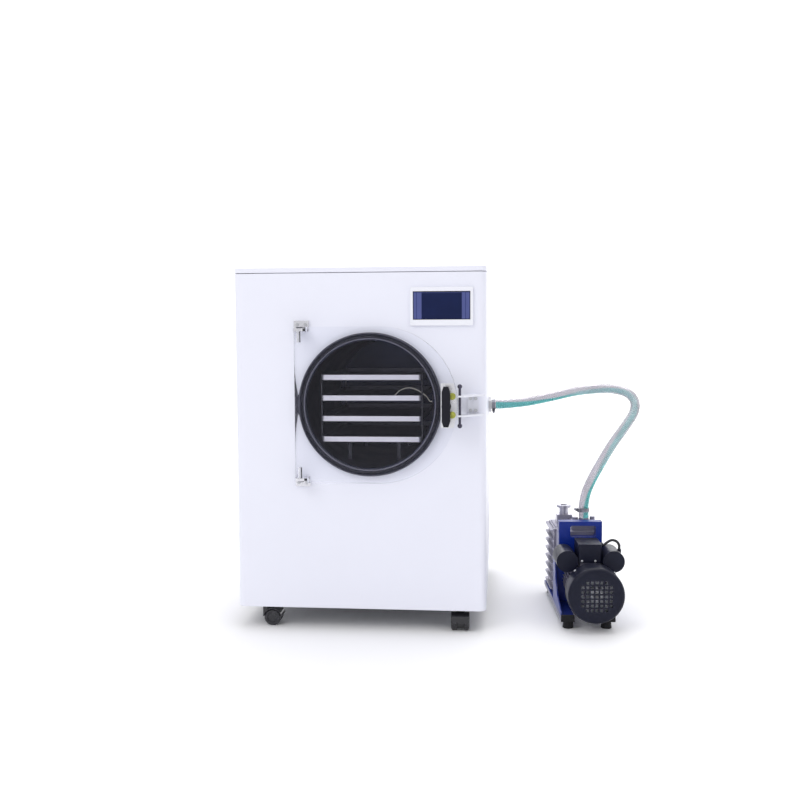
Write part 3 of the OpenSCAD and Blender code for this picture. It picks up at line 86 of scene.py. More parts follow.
# The pump's frame is turned about the hose's axis; its origin is under the fan cover's face
PUMP_TURN = math.radians(4.0)
HOSE_AXIS = np.array([0.546, 0.238, 0.0])
INLET = np.array([0.003, 0.235, 0.0])


def cabinet(points):
    """Moves points from the cabinet's frame to the model's: p + CABINET."""
    return np.asarray(points, float) + CABINET


def pump(points):
    """Moves points from the pump's frame to the model's: turned by PUMP_TURN about z, then shifted."""
    c, s = math.cos(PUMP_TURN), math.sin(PUMP_TURN)
    turn = np.array([[c, -s, 0.0], [s, c, 0.0], [0.0, 0.0, 1.0]])
    return cabinet((np.asarray(points, float) - INLET) @ turn.T + HOSE_AXIS)


# ---- Surfaces ----


def grid_faces(rows, columns, closed_rows=False, closed_columns=True):
    """Quads of a rows x columns grid of points, as an array of four indices a face."""
    i = np.arange(rows if closed_rows else rows - 1)
    j = np.arange(columns if closed_columns else columns - 1)
    a, b = np.meshgrid(i, j, indexing="ij")
    a, b = a.ravel(), b.ravel()
    a2, b2 = (a + 1) % rows, (b + 1) % columns
    return np.stack([a * columns + b, a * columns + b2, a2 * columns + b2, a2 * columns + b], axis=1)


def add_piece(name, points, faces, body, material, uv=None, smooth=True, masks=None):
    """Makes a mesh object from arrays of points and faces, and lets it ride on a body."""
    mesh = bpy.data.meshes.new(name)
    mesh.from_pydata(np.asarray(points, float).reshape(-1, 3).tolist(), [], [list(f) for f in faces])
    mesh.update()
    if uv is not None:
        layer = mesh.uv_layers.new(name="UVMap")
        corner = np.zeros(len(mesh.loops), np.int32)
        mesh.loops.foreach_get("vertex_index", corner)
        layer.data.foreach_set("uv", np.asarray(uv, np.float32)[corner].ravel())
    for key, values in (masks or {}).items():
        attribute = mesh.attributes.new(key, "FLOAT", "POINT")
        attribute.data.foreach_set("value", np.asarray(values, np.float32).ravel())
    mesh.polygons.foreach_set("use_smooth", np.full(len(mesh.polygons), smooth))
    mesh.materials.append(material)
    piece = bpy.data.objects.new(name, mesh)
    bpy.context.scene.collection.objects.link(piece)
    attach(piece, body)
    return piece


def smooth_path(points, step):
    """Points about `step` apart on a Catmull-Rom curve through the given points:
    p(t) = (2b + (c-a)t + (2a-5b+4c-d)t^2 + (3b-3c+d-a)t^3) / 2 on each stretch from b to c."""
    p = np.asarray(points, float)
    padded = np.vstack([p[:1], p, p[-1:]])
    stretches = []
    for i in range(len(p) - 1):
        a, b, c, d = padded[i : i + 4]
        n = max(1, round(np.linalg.norm(c - b) / step))
        t = (np.arange(n) / n)[:, None]
        stretches.append(
            0.5 * (2 * b + (c - a) * t + (2 * a - 5 * b + 4 * c - d) * t**2 + (3 * b - 3 * c + d - a) * t**3)
        )
    return np.vstack([*stretches, p[-1:]])


def frames_along(path, start, finish, side):
    """Unit tangents of a path, and two unit vectors across it at each point. The first of the two is
    `side` less its part along the tangent, so the tube doesn't twist."""
    t = np.gradient(path, axis=0)
    t[0], t[-1] = start, finish
    t /= np.linalg.norm(t, axis=1)[:, None]
    e = np.asarray(side, float) - (t @ np.asarray(side, float))[:, None] * t
    e /= np.linalg.norm(e, axis=1)[:, None]
    return t, e, np.cross(t, e)


def tube_points(path, radius, e, f, around):
    """Rings round a path: p(s, a) = path(s) + radius(s) * (cos(a) e(s) + sin(a) f(s))."""
    a = 2 * math.pi * np.arange(around) / around
    r = np.broadcast_to(np.asarray(radius, float), (len(path),))[:, None, None]
    ring = np.cos(a)[None, :, None] * e[:, None, :] + np.sin(a)[None, :, None] * f[:, None, :]
    return path[:, None, :] + r * ring


def lengths_along(path):
    """Distance along the path from its start to each of its points."""
    return np.concatenate([[0.0], np.cumsum(np.linalg.norm(np.diff(path, axis=0), axis=1))])


def capped(rows, columns):
    """Faces of a tube with an end face at each end."""
    last = (rows - 1) * columns
    ends = [list(range(columns))[::-1], list(range(last, last + columns))]
    return [*grid_faces(rows, columns).tolist(), *ends]


def tube_uv(s, around):
    """Texture places of a tube's rings: u runs round a ring, and v is the length along the tube."""
    u = np.broadcast_to((np.arange(around) / around)[None, :], (len(s), around))
    v = np.broadcast_to(s[:, None], (len(s), around))
    return np.stack([u, v], axis=-1).reshape(-1, 2)


def turned(profile, centre, axis, side, around):
    """Revolves a profile of (radius, height) pairs about an axis:
    p(u, a) = centre + height(u) * axis + radius(u) * (cos(a) side + sin(a) axis x side)."""
    axis, side = np.asarray(axis, float), np.asarray(side, float)
    across = np.cross(axis, side)
    a = np.radians(np.linspace(0.0, 360.0, around, endpoint=False))
    r, h = np.asarray(profile, float).T
    ring = np.cos(a)[None, :, None] * side + np.sin(a)[None, :, None] * across
    return np.asarray(centre, float) + h[:, None, None] * axis + r[:, None, None] * ring


# ---- Node trees ----


class Tree:
    """Fills one node tree. An input given a socket is linked to it, and any other value is set."""

    def __init__(self, tree):
        self.tree = tree
        self.x = 0

    def add(self, kind, inputs=None, **settings):
        node = self.tree.nodes.new(kind)
        self.x += 190
        node.location = (self.x, 0)
        for key, value in settings.items():
            setattr(node, key, value)
        self.feed(node, inputs or {})
        return node

    def feed(self, node, inputs):
        """Links or sets the named inputs of a node."""
        for key, value in inputs.items():
            if isinstance(value, bpy.types.NodeSocket):
                self.tree.links.new(value, node.inputs[key])
            else:
                node.inputs[key].default_value = value

    def math(self, operation, a, b=0.0, clamp=False):
        return self.add("ShaderNodeMath", {0: a, 1: b}, operation=operation, use_clamp=clamp).outputs[0]

    def vector(self, operation, a, b):
        return self.add("ShaderNodeVectorMath", {0: a, 1: b}, operation=operation)

    def spread(self, value, low, high, to_low=0.0, to_high=1.0):
        inputs = {"Value": value, "From Min": low, "From Max": high, "To Min": to_low, "To Max": to_high}
        return self.add("ShaderNodeMapRange", inputs).outputs["Result"]

    def mix(self, share, a, b):
        """Mix of two colours by a share from 0 to 1."""
        return self.add("ShaderNodeMix", {0: share, 6: a, 7: b}, data_type="RGBA").outputs[2]

    def noise(self, vector, scale, detail=3.0, rough=0.5):
        inputs = {"Vector": vector, "Scale": scale, "Detail": detail, "Roughness": rough}
        return self.add("ShaderNodeTexNoise", inputs).outputs["Fac"]

    def bump(self, height, strength, distance, normal=None):
        inputs = {"Height": height, "Strength": strength, "Distance": distance}
        if normal is not None:
            inputs["Normal"] = normal
        return self.add("ShaderNodeBump", inputs).outputs["Normal"]

    def object_place(self):
        return self.add("ShaderNodeTexCoord").outputs["Object"]

    def band(self, value, low, high, soft):
        """1 between low and high, with soft shoulders inside them."""
        rise = self.spread(value, low, low + soft)
        return self.math("MULTIPLY", rise, self.spread(value, high - soft, high, 1.0, 0.0))

    def reach(self, centre, axes):
        """Distance from a centre, counted along the named axes alone."""
        away = self.vector("SUBTRACT", self.object_place(), tuple(centre))
        flat = tuple(1.0 if axis in axes else 0.0 for axis in "XYZ")
        kept = self.vector("MULTIPLY", away.outputs[0], flat)
        return self.add("ShaderNodeVectorMath", {0: kept.outputs[0]}, operation="LENGTH").outputs["Value"]

    def along(self, axis):
        return self.add("ShaderNodeSeparateXYZ", {0: self.object_place()}).outputs[axis]


def new_group(name, inputs, outputs):
    """An empty shader node group with named sockets, and the nodes of its two ends."""
    group = bpy.data.node_groups.new(name, "ShaderNodeTree")
    for key, value in inputs.items():
        kind = "NodeSocketVector" if isinstance(value, tuple) else "NodeSocketFloat"
        socket = group.interface.new_socket(key, in_out="INPUT", socket_type=kind)
        socket.default_value = value
    for key in outputs:
        kind = "NodeSocketVector" if key == "Normal" else "NodeSocketFloat"
        group.interface.new_socket(key, in_out="OUTPUT", socket_type=kind)
    tree = Tree(group)
    return tree, tree.add("NodeGroupInput").outputs, tree.add("NodeGroupOutput")


def group_speckle():
    """Shallow even grain, as of powder coat or moulded plastic: noise at one scale makes the height."""
    tree, given, out = new_group("Speckle", {"Scale": 900.0, "Depth": 0.1}, ("Mask", "Height"))
    noise = tree.noise(tree.object_place(), given["Scale"], 2.0)
    height = tree.math("MULTIPLY", noise, given["Depth"])
    tree.feed(out, {"Mask": tree.spread(noise, 0.35, 0.65), "Height": height})
    return tree.tree


def group_brushing():
    """Fine parallel scratches: noise stretched many times along one direction."""
    inputs = {"Stretch": (1.0, 1.0, 0.02), "Scale": 1400.0, "Depth": 0.1}
    tree, given, out = new_group("Brushing", inputs, ("Mask", "Height"))
    place = tree.vector("MULTIPLY", tree.object_place(), given["Stretch"])
    noise = tree.noise(place.outputs[0], given["Scale"], 4.0, 0.6)
    height = tree.math("MULTIPLY", noise, given["Depth"])
    tree.feed(out, {"Mask": tree.spread(noise, 0.3, 0.7), "Height": height})
    return tree.tree


def group_handling():
    """Large soft patches where a surface has been touched, wiped or has weathered."""
    tree, given, out = new_group("Handling", {"Scale": 9.0, "Sharpness": 0.2}, ("Mask",))
    noise = tree.noise(tree.object_place(), given["Scale"], 5.0, 0.62)
    low = tree.math("SUBTRACT", 0.5, given["Sharpness"])
    high = tree.math("ADD", 0.5, given["Sharpness"])
    tree.feed(out, {"Mask": tree.spread(noise, low, high)})
    return tree.tree


def group_rounded_edges():
    """Softens the light on sharp edges: the normal of a copy of the shape with round edges."""
    tree, given, out = new_group("Rounded edges", {"Radius": 0.001}, ("Normal",))
    rounded = tree.add("ShaderNodeBevel", {"Radius": given["Radius"]}, samples=4).outputs["Normal"]
    tree.feed(out, {"Normal": rounded})
    return tree.tree


def group_worn_edges():
    """Masks the outer edges: where the normal of a rounded copy of the shape turns from the face's."""
    tree, given, out = new_group("Edge wear and highlight", {"Width": 0.001, "Breaks": 60.0}, ("Mask",))
    rounded = tree.add("ShaderNodeBevel", {"Radius": given["Width"]}, samples=4).outputs["Normal"]
    flat = tree.add("ShaderNodeNewGeometry").outputs["Normal"]
    same = tree.vector("DOT_PRODUCT", rounded, flat).outputs["Value"]
    edge = tree.spread(same, 0.995, 0.9)
    broken = tree.spread(tree.noise(tree.object_place(), given["Breaks"], 4.0, 0.7), 0.42, 0.6)
    tree.feed(out, {"Mask": tree.math("MULTIPLY", edge, broken, clamp=True)})
    return tree.tree


def group_settled_dust():
    """Dust that lies on what faces upwards, thinner where it has been disturbed."""
    tree, given, out = new_group("Settled dust", {"Scale": 35.0, "Cover": 0.5}, ("Mask",))
    normal = tree.add("ShaderNodeNewGeometry").outputs["Normal"]
    up = tree.spread(tree.add("ShaderNodeSeparateXYZ", {0: normal}).outputs["Z"], 0.45, 0.95)
    patches = tree.spread(tree.noise(tree.object_place(), given["Scale"], 6.0, 0.7), 0.3, 0.75)
    mask = tree.math("MULTIPLY", tree.math("MULTIPLY", up, patches), given["Cover"], clamp=True)
    tree.feed(out, {"Mask": mask})
    return tree.tree


MAKERS = {
    "Speckle": group_speckle,
    "Brushing": group_brushing,
    "Handling": group_handling,
    "Rounded edges": group_rounded_edges,
    "Edge wear and highlight": group_worn_edges,
    "Settled dust": group_settled_dust,
}


def group_node(tree, name, **inputs):
    """Places a shared group in a material, with this material's own values."""
    group = bpy.data.node_groups.get(name) or MAKERS[name]()
    return tree.add("ShaderNodeGroup", inputs, node_tree=group).outputs


def rgba(colour, factor=1.0):
    return (*[min(1.0, c * factor) for c in colour[:3]], 1.0)


def new_material(name):
    """An empty material with its output, and a Principled shader joined to it."""
    material = bpy.data.materials.new(name)
    material.use_nodes = True
    material.node_tree.nodes.clear()
    tree = Tree(material.node_tree)
    shader = tree.add("ShaderNodeBsdfPrincipled")
    tree.add("ShaderNodeOutputMaterial", {"Surface": shader.outputs["BSDF"]})
    return material, tree, shader


def finish_of(
    name, colour, rough=0.4, rough_span=0.1, shade=0.08, metal=0.0, speckle=None, brushed=None,
    patches=(9.0, 0.2), worn=None, dust=None, rounded=0.0, coat=0.0, specular=0.5, accents=(),
):
    """A finish built from the shared groups: large patches vary the colour and roughness, a fine
    grain or brushing shapes the surface, edges may take a colour of wear (on the pump's frame also
    a painted highlight), and dust may lie on top. Each accent is a function that makes a mask, and
    the colour that the mask brings in."""
    material, tree, shader = new_material(name)
    handled = group_node(tree, "Handling", Scale=patches[0], Sharpness=patches[1])["Mask"]
    colour_now = tree.mix(handled, rgba(colour), rgba(colour, 1.0 - shade))
    rough_now = tree.spread(handled, 0.0, 1.0, rough - rough_span / 2, rough + rough_span / 2)
    height = None
    if brushed:
        grain = group_node(tree, "Brushing", Stretch=brushed[0], Scale=brushed[1], Depth=brushed[2])
        colour_now = tree.mix(tree.math("MULTIPLY", grain["Mask"], 0.35), colour_now, rgba(colour, 0.72))
        rough_now = tree.math("ADD", rough_now, tree.math("MULTIPLY", grain["Mask"], 0.12))
        height = grain["Height"]
    elif speckle:
        grain = group_node(tree, "Speckle", Scale=speckle[0], Depth=speckle[1])
        rough_now = tree.math("ADD", rough_now, tree.math("MULTIPLY", grain["Mask"], 0.03))
        height = grain["Height"]
    for mask, accent in accents:
        colour_now = tree.mix(mask(tree), colour_now, rgba(accent))
    if worn:
        edges = group_node(tree, "Edge wear and highlight", Width=worn[1], Breaks=worn[2])["Mask"]
        colour_now = tree.mix(edges, colour_now, rgba(worn[0]))
    if dust:
        lying = group_node(tree, "Settled dust", Scale=dust[0], Cover=dust[1])["Mask"]
        colour_now = tree.mix(lying, colour_now, (0.62, 0.6, 0.58, 1.0))
        rough_now = tree.math("ADD", rough_now, tree.math("MULTIPLY", lying, 0.4), clamp=True)
    normal = group_node(tree, "Rounded edges", Radius=rounded)["Normal"] if rounded else None
    if height is not None:
        normal = tree.bump(height, 0.6, 0.0006, normal)
    if normal is not None:
        tree.feed(shader, {"Normal": normal})
    tree.feed(shader, {
        "Base Color": colour_now, "Roughness": rough_now, "Metallic": metal,
        "Specular IOR Level": specular, "Coat Weight": coat, "Coat Roughness": 0.08,
    })
    return material


def dress(names, material):
    """Gives a material to the solids whose names are listed with spaces between them."""
    for name in names.split():
        slots = NODES[name].data.materials
        slots.clear()
        slots.append(material)


def finish(names, *look, **details):
    """Makes a finish and gives it to the named solids."""
    dress(names, finish_of(*look, **details))


# ---- Settings ----


def colour_setting(name, description, default):
    return FloatVectorProperty(
        name=name, description=description, subtype="COLOR", size=3, default=default, min=0.0, max=1.0
    )


def length_setting(name, description, default, least, most):
    return FloatProperty(
        name=name, description=description, default=default, min=least, max=most, unit="LENGTH"
    )


class FREEZE_PG_cabinet(bpy.types.PropertyGroup):
    """Finish of the cabinet, its casters and its screen."""

    enamel: colour_setting("Enamel", "Colour of the powder coat", (0.80, 0.81, 0.90))
    enamel_gloss: FloatProperty(
        name="Enamel roughness", description="Roughness of the powder coat", default=0.38, min=0.0, max=1.0,
        subtype="FACTOR",
    )
    screen_centre: colour_setting("Screen", "Colour of the display area", (0.007, 0.012, 0.048))
    screen_side: colour_setting(
        "Screen sides", "Colour of the bands beside the display", (0.068, 0.082, 0.215)
    )
    nylon: colour_setting("Caster nylon", "Colour of the casters", (0.012, 0.012, 0.018))


class FREEZE_PG_chamber(bpy.types.PropertyGroup):
    """Finish of the chamber, its trays and the door."""

    steel: colour_setting("Tray steel", "Colour of the bright trays", (0.78, 0.77, 0.86))
    # Near black with a blue cast: painted shade for the unlit inside of the chamber, whose real steel is
    # bright.
    drum_painted_shade: colour_setting("Chamber steel", "Colour of the chamber's wall", (0.036, 0.041, 0.076))
    seal: colour_setting("Seal", "Colour of the door's seal", (0.019, 0.020, 0.034))
    door_tint: colour_setting("Door", "Colour of light through the door", (0.972, 0.978, 0.995))


class FREEZE_PG_hose(bpy.types.PropertyGroup):
    """Sizes and finish of the vacuum hose."""

    diameter: length_setting("Diameter", "Outside diameter of the hose", 0.025, 0.015, 0.04)
    wall: length_setting("Wall", "Thickness of the hose's wall", 0.0032, 0.001, 0.006)
    wire_pitch: length_setting("Wire pitch", "Distance between turns of the wire", 0.0048, 0.003, 0.02)
    wire: length_setting("Wire", "Thickness of the wire in the wall", 0.0009, 0.0004, 0.002)
    around: IntProperty(name="Points around", description="Points in each ring", default=40, min=12, max=96)
    stripe: colour_setting("Stripe", "Colour of the stripe along the hose", (0.20, 0.66, 0.64))
    clear: colour_setting("Clear wall", "Colour of the clear part", (0.90, 0.87, 0.91))


class FREEZE_PG_pump(bpy.types.PropertyGroup):
    """Finish of the vacuum pump."""

    blue: colour_setting("Frame", "Enamel of the pump's frame", (0.004, 0.026, 0.27))
    casting: colour_setting("Castings", "Paint of the oil case", (0.27, 0.262, 0.345))
    covers: colour_setting("Covers", "Plastic of the motor's covers", (0.0065, 0.008, 0.022))


class FREEZE_PG_stage(bpy.types.PropertyGroup):
    """Camera, lights and floor."""

    lens: FloatProperty(
        name="Lens", description="Focal length in millimetres", default=45.0, min=20.0, max=120.0
    )
    floor: colour_setting("Floor", "Colour of the floor", (0.93, 0.93, 0.945))
    light: FloatProperty(name="Light", description="Strength of the lamps", default=1.0, min=0.0, max=10.0)


# ---- Stage ----


# Place of the camera in the cabinet's frame, and its turn in degrees
CAMERA_PLACE = [0.3332, -2.3382, 0.7223]
CAMERA_TURN = (85.922, 0.296, 5.7405)
# Each lamp's place, size in metres, power in watts and colour; all face one point
LAMP_TARGET = (0.0, 0.0, 0.45)
LAMPS = {
    "key_light": ((-1.9, -2.6, 2.7), (2.2, 1.6), 29, (1.0, 0.99, 0.98)),
    "fill_light": ((2.8, -2.0, 1.7), (1.8, 2.2), 6, (0.97, 0.98, 1.0)),
    "top_light": ((0.2, 0.3, 3.4), (3.0, 2.6), 43, (1.0, 1.0, 1.0)),
    "rear_light": ((0.4, 3.2, 2.2), (2.6, 1.6), 26, (1.0, 1.0, 1.0)),
}
# The floor's sheet: half its width, where it begins and bends up, the bend's radius, and its top
SHEET_HALF = 11.0
SHEET_FRONT = -9.0
SHEET_BEND_Y = 4.0
SHEET_RADIUS = 2.0
SHEET_TOP = 9.0


def area_light(name, place, target, size, power, colour):
    """A rectangular lamp at a place, facing a target."""
    data = bpy.data.lights.new(name, "AREA")
    data.shape = "RECTANGLE"
    data.size, data.size_y = size
    data.energy = power
    data.color = colour
    lamp = bpy.data.objects.new(name, data)
    lamp.location = place
    way = np.asarray(target, float) - np.asarray(place, float)
    flat = math.hypot(way[0], way[1])
    lamp.rotation_euler = (math.atan2(flat, -way[2]), 0.0, math.atan2(-way[0], way[1]))
    bpy.context.scene.collection.objects.link(lamp)


class FREEZE_OT_stage(bpy.types.Operator):
    """Camera at eye level before the door, pale floor that curves up behind, and soft lamps"""

    bl_idname = "freeze_dryer.stage"
    bl_label = "Build the Stage"

    def execute(self, context):
        look = context.scene.freeze_stage
        data = bpy.data.cameras.new("camera")
        data.sensor_width = 36.0
        data.lens = look.lens
        data.clip_end = 100.0
        camera = bpy.data.objects.new("camera", data)
        camera.location = cabinet(CAMERA_PLACE)
        camera.rotation_euler = [math.radians(a) for a in CAMERA_TURN]
        context.scene.collection.objects.link(camera)
        context.scene.camera = camera

        material, tree, shader = new_material("studio_floor")
        place = tree.object_place()
        tone = tree.noise(place, 1.3, 3.0)
        # The far floor and the wall glow a little, as a lit backdrop does
        far = tree.spread(tree.add("ShaderNodeSeparateXYZ", {0: place}).outputs["Y"], 0.8, 3.5, 0.0, 0.45)
        tree.feed(shader, {
            "Base Color": tree.mix(tone, rgba(look.floor), rgba(look.floor, 0.985)),
            "Roughness": 0.85,
            "Emission Color": (1.0, 1.0, 1.0, 1.0),
            "Emission Strength": far,
        })
        # Profile (y, z): flat, then a quarter circle, then upright
        a = np.radians(np.linspace(0, 90, 25))
        y = SHEET_BEND_Y + SHEET_RADIUS * np.sin(a)
        y = np.concatenate([[SHEET_FRONT], y, [SHEET_BEND_Y + SHEET_RADIUS]])
        z = np.concatenate([[0.0], SHEET_RADIUS - SHEET_RADIUS * np.cos(a), [SHEET_TOP]])
        x = np.linspace(-SHEET_HALF, SHEET_HALF, 12)
        points = np.stack(np.broadcast_arrays(x[None, :], y[:, None], z[:, None]), axis=-1)
        mesh = bpy.data.meshes.new("studio_floor")
        faces = grid_faces(len(y), len(x), closed_columns=False)
        mesh.from_pydata(points.reshape(-1, 3).tolist(), [], faces[:, ::-1].tolist())
        mesh.polygons.foreach_set("use_smooth", np.ones(len(mesh.polygons), bool))
        mesh.materials.append(material)
        floor = bpy.data.objects.new("studio_floor", mesh)
        context.scene.collection.objects.link(floor)

        for name, (place, size, power, colour) in LAMPS.items():
            area_light(name, place, LAMP_TARGET, size, power * look.light, colour)

        world = bpy.data.worlds.new("studio_world")
        world.use_nodes = True
        background = world.node_tree.nodes["Background"]
        background.inputs["Color"].default_value = (0.985, 0.985, 1.0, 1.0)
        background.inputs["Strength"].default_value = 0.8
        context.scene.world = world
        context.scene.view_settings.view_transform = "Standard"
        return {"FINISHED"}


# ---- Hose and leads ----

# Route of the hose in the cabinet's frame, in metres
HOSE_ROUTE = [
    (0.320, 0.450, 0.511), (0.345, 0.450, 0.512), (0.406, 0.448, 0.519), (0.472, 0.444, 0.533),
    (0.534, 0.438, 0.548), (0.585, 0.428, 0.555), (0.630, 0.410, 0.557), (0.668, 0.382, 0.549),
    (0.685, 0.350, 0.529), (0.680, 0.318, 0.501), (0.652, 0.286, 0.464), (0.617, 0.264, 0.419),
    (0.588, 0.250, 0.373), (0.566, 0.242, 0.334), (0.552, 0.239, 0.301), (0.546, 0.238, 0.270),
    (0.546, 0.238, 0.251), (0.546, 0.238, 0.236),
]
# Route of the probe's lead, in the cabinet's frame
PROBE_ROUTE = [
    (0.17079, 0.052, 0.549), (0.16479, 0.052, 0.549), (0.158, 0.050, 0.559), (0.148, 0.048, 0.568),
    (0.130, 0.048, 0.578), (0.112, 0.050, 0.581), (0.094, 0.054, 0.575), (0.080, 0.060, 0.563),
    (0.070, 0.068, 0.5565), (0.050, 0.084, 0.5565),
]
# Route of the capacitor's lead, in the pump's frame
LEAD_ROUTE = [
    (0.029, 0.100, 0.194), (0.033, 0.100, 0.195), (0.042, 0.100, 0.202), (0.052, 0.100, 0.206),
    (0.062, 0.100, 0.203), (0.0685, 0.100, 0.195), (0.069, 0.100, 0.18874), (0.069, 0.100, 0.18374),
]
# The stripe's middle at the hose's start and how far it winds to the end, in degrees, and the
# cosine at which it begins and the rise to its full colour
STRIPE_START = 15.0
STRIPE_WIND = 300.0
STRIPE_EDGE = 0.48
STRIPE_RISE = 0.16
# The wire stops this far from the hose's ends, and has this many points a turn and round itself
WIRE_END = 0.003
WIRE_STEPS = 14
WIRE_AROUND = 5
LEAD_AROUND = 16


def hose_material(look):
    """Clear soft plastic with a coloured stripe: the stripe is a mask on the mesh, and fine rings
    over the wire follow the length that the UV map holds."""
    material, tree, shader = new_material("hose_pvc")
    stripe = tree.add("ShaderNodeAttribute", attribute_name="stripe").outputs["Fac"]
    along = tree.add("ShaderNodeSeparateXYZ", {0: tree.add("ShaderNodeUVMap", uv_map="UVMap").outputs[0]})
    haze = group_node(tree, "Handling", Scale=45.0, Sharpness=0.25)["Mask"]
    turns = tree.math("MULTIPLY", along.outputs["Y"], 2 * math.pi / look.wire_pitch)
    rings = tree.math("ADD", tree.math("MULTIPLY", tree.math("SINE", turns), 0.5), 0.5)
    body = tree.mix(haze, rgba(look.clear), rgba(look.clear, 0.86))
    body = tree.mix(tree.math("MULTIPLY", rings, 0.22), body, rgba((0.55, 0.53, 0.60)))
    tree.feed(shader, {
        "Base Color": tree.mix(stripe, body, rgba(look.stripe)),
        "Roughness": tree.spread(haze, 0.0, 1.0, 0.12, 0.3),
        "Normal": tree.bump(rings, 0.25, 0.0004),
        "Transmission Weight": 0.8,
        "IOR": 1.34,
    })
    return material


class FREEZE_OT_hose(bpy.types.Operator):
    """Clear hose with a wire helix in its wall, from the cabinet's port to the pump's inlet"""

    bl_idname = "freeze_dryer.hose"
    bl_label = "Build the Hose"

    def execute(self, context):
        look = context.scene.freeze_hose
        radius, around = look.diameter / 2, look.around
        path = smooth_path(cabinet(HOSE_ROUTE), 0.004)
        _, e, f = frames_along(path, (1, 0, 0), (0, 0, -1), (0, -1, 0))
        s = lengths_along(path)
        rows = len(path)
        outer = tube_points(path, radius, e, f, around)
        inner = tube_points(path, radius - look.wall, e, f, around)
        points = np.concatenate([outer, inner[::-1]])
        faces = grid_faces(2 * rows, around, closed_rows=True)
        both = np.concatenate([s, s[::-1]])
        # The stripe's middle at length s lies at START + WIND * s / length degrees round the hose
        middle = np.radians(STRIPE_START + STRIPE_WIND * both / s[-1])
        off = np.cos(2 * math.pi * (np.arange(around) / around)[None, :] - middle[:, None])
        stripe = np.clip((off - STRIPE_EDGE) / STRIPE_RISE, 0.0, 1.0)
        hose = add_piece(
            "hose", points, faces, "machine", hose_material(look),
            uv=tube_uv(both, around), masks={"stripe": stripe},
        )
        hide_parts("vacuum_hose")
        # The wire: p(s) = path(s) + r * (cos(w) e(s) + sin(w) f(s)), with w = 2 pi s / pitch
        steps = int(s[-1] / look.wire_pitch * WIRE_STEPS)
        t = np.linspace(WIRE_END, s[-1] - WIRE_END, steps)
        at, e_at, f_at = (
            np.stack([np.interp(t, s, line[:, k]) for k in range(3)], axis=1) for line in (path, e, f)
        )
        w = 2 * math.pi * t / look.wire_pitch
        out = np.cos(w)[:, None] * e_at + np.sin(w)[:, None] * f_at
        helix = at + (radius - look.wall / 2) * out
        way = np.gradient(helix, axis=0)
        way /= np.linalg.norm(way, axis=1)[:, None]
        wire = tube_points(helix, look.wire / 2, out, np.cross(way, out), WIRE_AROUND)
        add_piece(
            "hose_wire", wire, capped(len(helix), WIRE_AROUND), "machine",
            finish_of("hose_wire", (0.42, 0.42, 0.46), rough=0.35, metal=0.9, patches=(60.0, 0.3)),
        )
        return {"FINISHED"}


def lead(name, path, start, finish, side, radius, material, replaced):
    """A short round lead between two glands."""
    _, e, f = frames_along(path, start, finish, side)
    s = lengths_along(path)
    points = tube_points(path, radius, e, f, LEAD_AROUND)
    faces = capped(len(path), LEAD_AROUND)
    piece = add_piece(name, points, faces, "machine", material, uv=tube_uv(s, LEAD_AROUND))
    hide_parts(replaced)


class FREEZE_OT_leads(bpy.types.Operator):
    """Short leads: the probe's lead in the chamber, and the capacitor's lead on the pump"""

    bl_idname = "freeze_dryer.leads"
    bl_label = "Build the Leads"

    def execute(self, context):
        probe = finish_of(
            "probe_silicone", (0.72, 0.70, 0.64), rough=0.5, speckle=(2500.0, 0.05), patches=(70.0, 0.2),
        )
        path = smooth_path(cabinet(PROBE_ROUTE), 0.002)
        lead(
            "probe_sheath", path, (-1, 0, 0), (-0.78, 0.62, 0), (0, -1, 0), 0.0014,
            probe, "probe_lead",
        )
        black = finish_of(
            "cable_pvc", (0.012, 0.012, 0.015), rough=0.35, speckle=(2200.0, 0.06), patches=(50.0, 0.2),
        )
        path = smooth_path(pump(LEAD_ROUTE), 0.002)
        c, s = math.cos(PUMP_TURN), math.sin(PUMP_TURN)
        lead(
            "capacitor_cable", path, (c, s, 0), (0, 0, -1), (s, -c, 0), 0.0032,
            black, "capacitor_lead",
        )
        return {"FINISHED"}


# ---- Cabinet ----


# Inlet blades: places across and below the inlet's middle, depth before its rear face, and size
BLADE_PLACES = [(-0.007, -0.016), (0.0, -0.012), (0.007, -0.016)]
BLADE_DEPTH = 0.0195
BLADE_SIZE = (0.0023, 0.0043, 0.0142)
# The rocker's pivot in the cabinet's frame, its tilt, and where its marks lie on its face
ROCKER_PIVOT = [-0.220, 0.651, 0.446]
ROCKER_TILT = math.radians(8.0)
ROCKER_FACE = 0.00405
MARK_SHIFT = 0.0062


def plate(centre, width, height, depth, axes, radius, corners=6):
    """A flat plate with rounded corners. Its outline runs round four quarter circles:
    p = corner + radius * (cos(a), sin(a)), and the outline is carried from z = 0 to z = depth."""
    u, v, w = (np.asarray(axis, float) for axis in axes)
    a = np.radians(np.linspace(0, 90, corners))
    turns = a[None, :] + np.radians([0, 90, 180, 270])[:, None]
    sx = np.array([1, -1, -1, 1])[:, None] * (width / 2 - radius)
    sy = np.array([1, 1, -1, -1])[:, None] * (height / 2 - radius)
    x = (sx + radius * np.cos(turns)).ravel()
    y = (sy + radius * np.sin(turns)).ravel()
    ring = np.asarray(centre, float) + x[:, None] * u + y[:, None] * v
    points = np.stack([ring, ring + depth * w])
    return points, capped(2, len(ring))


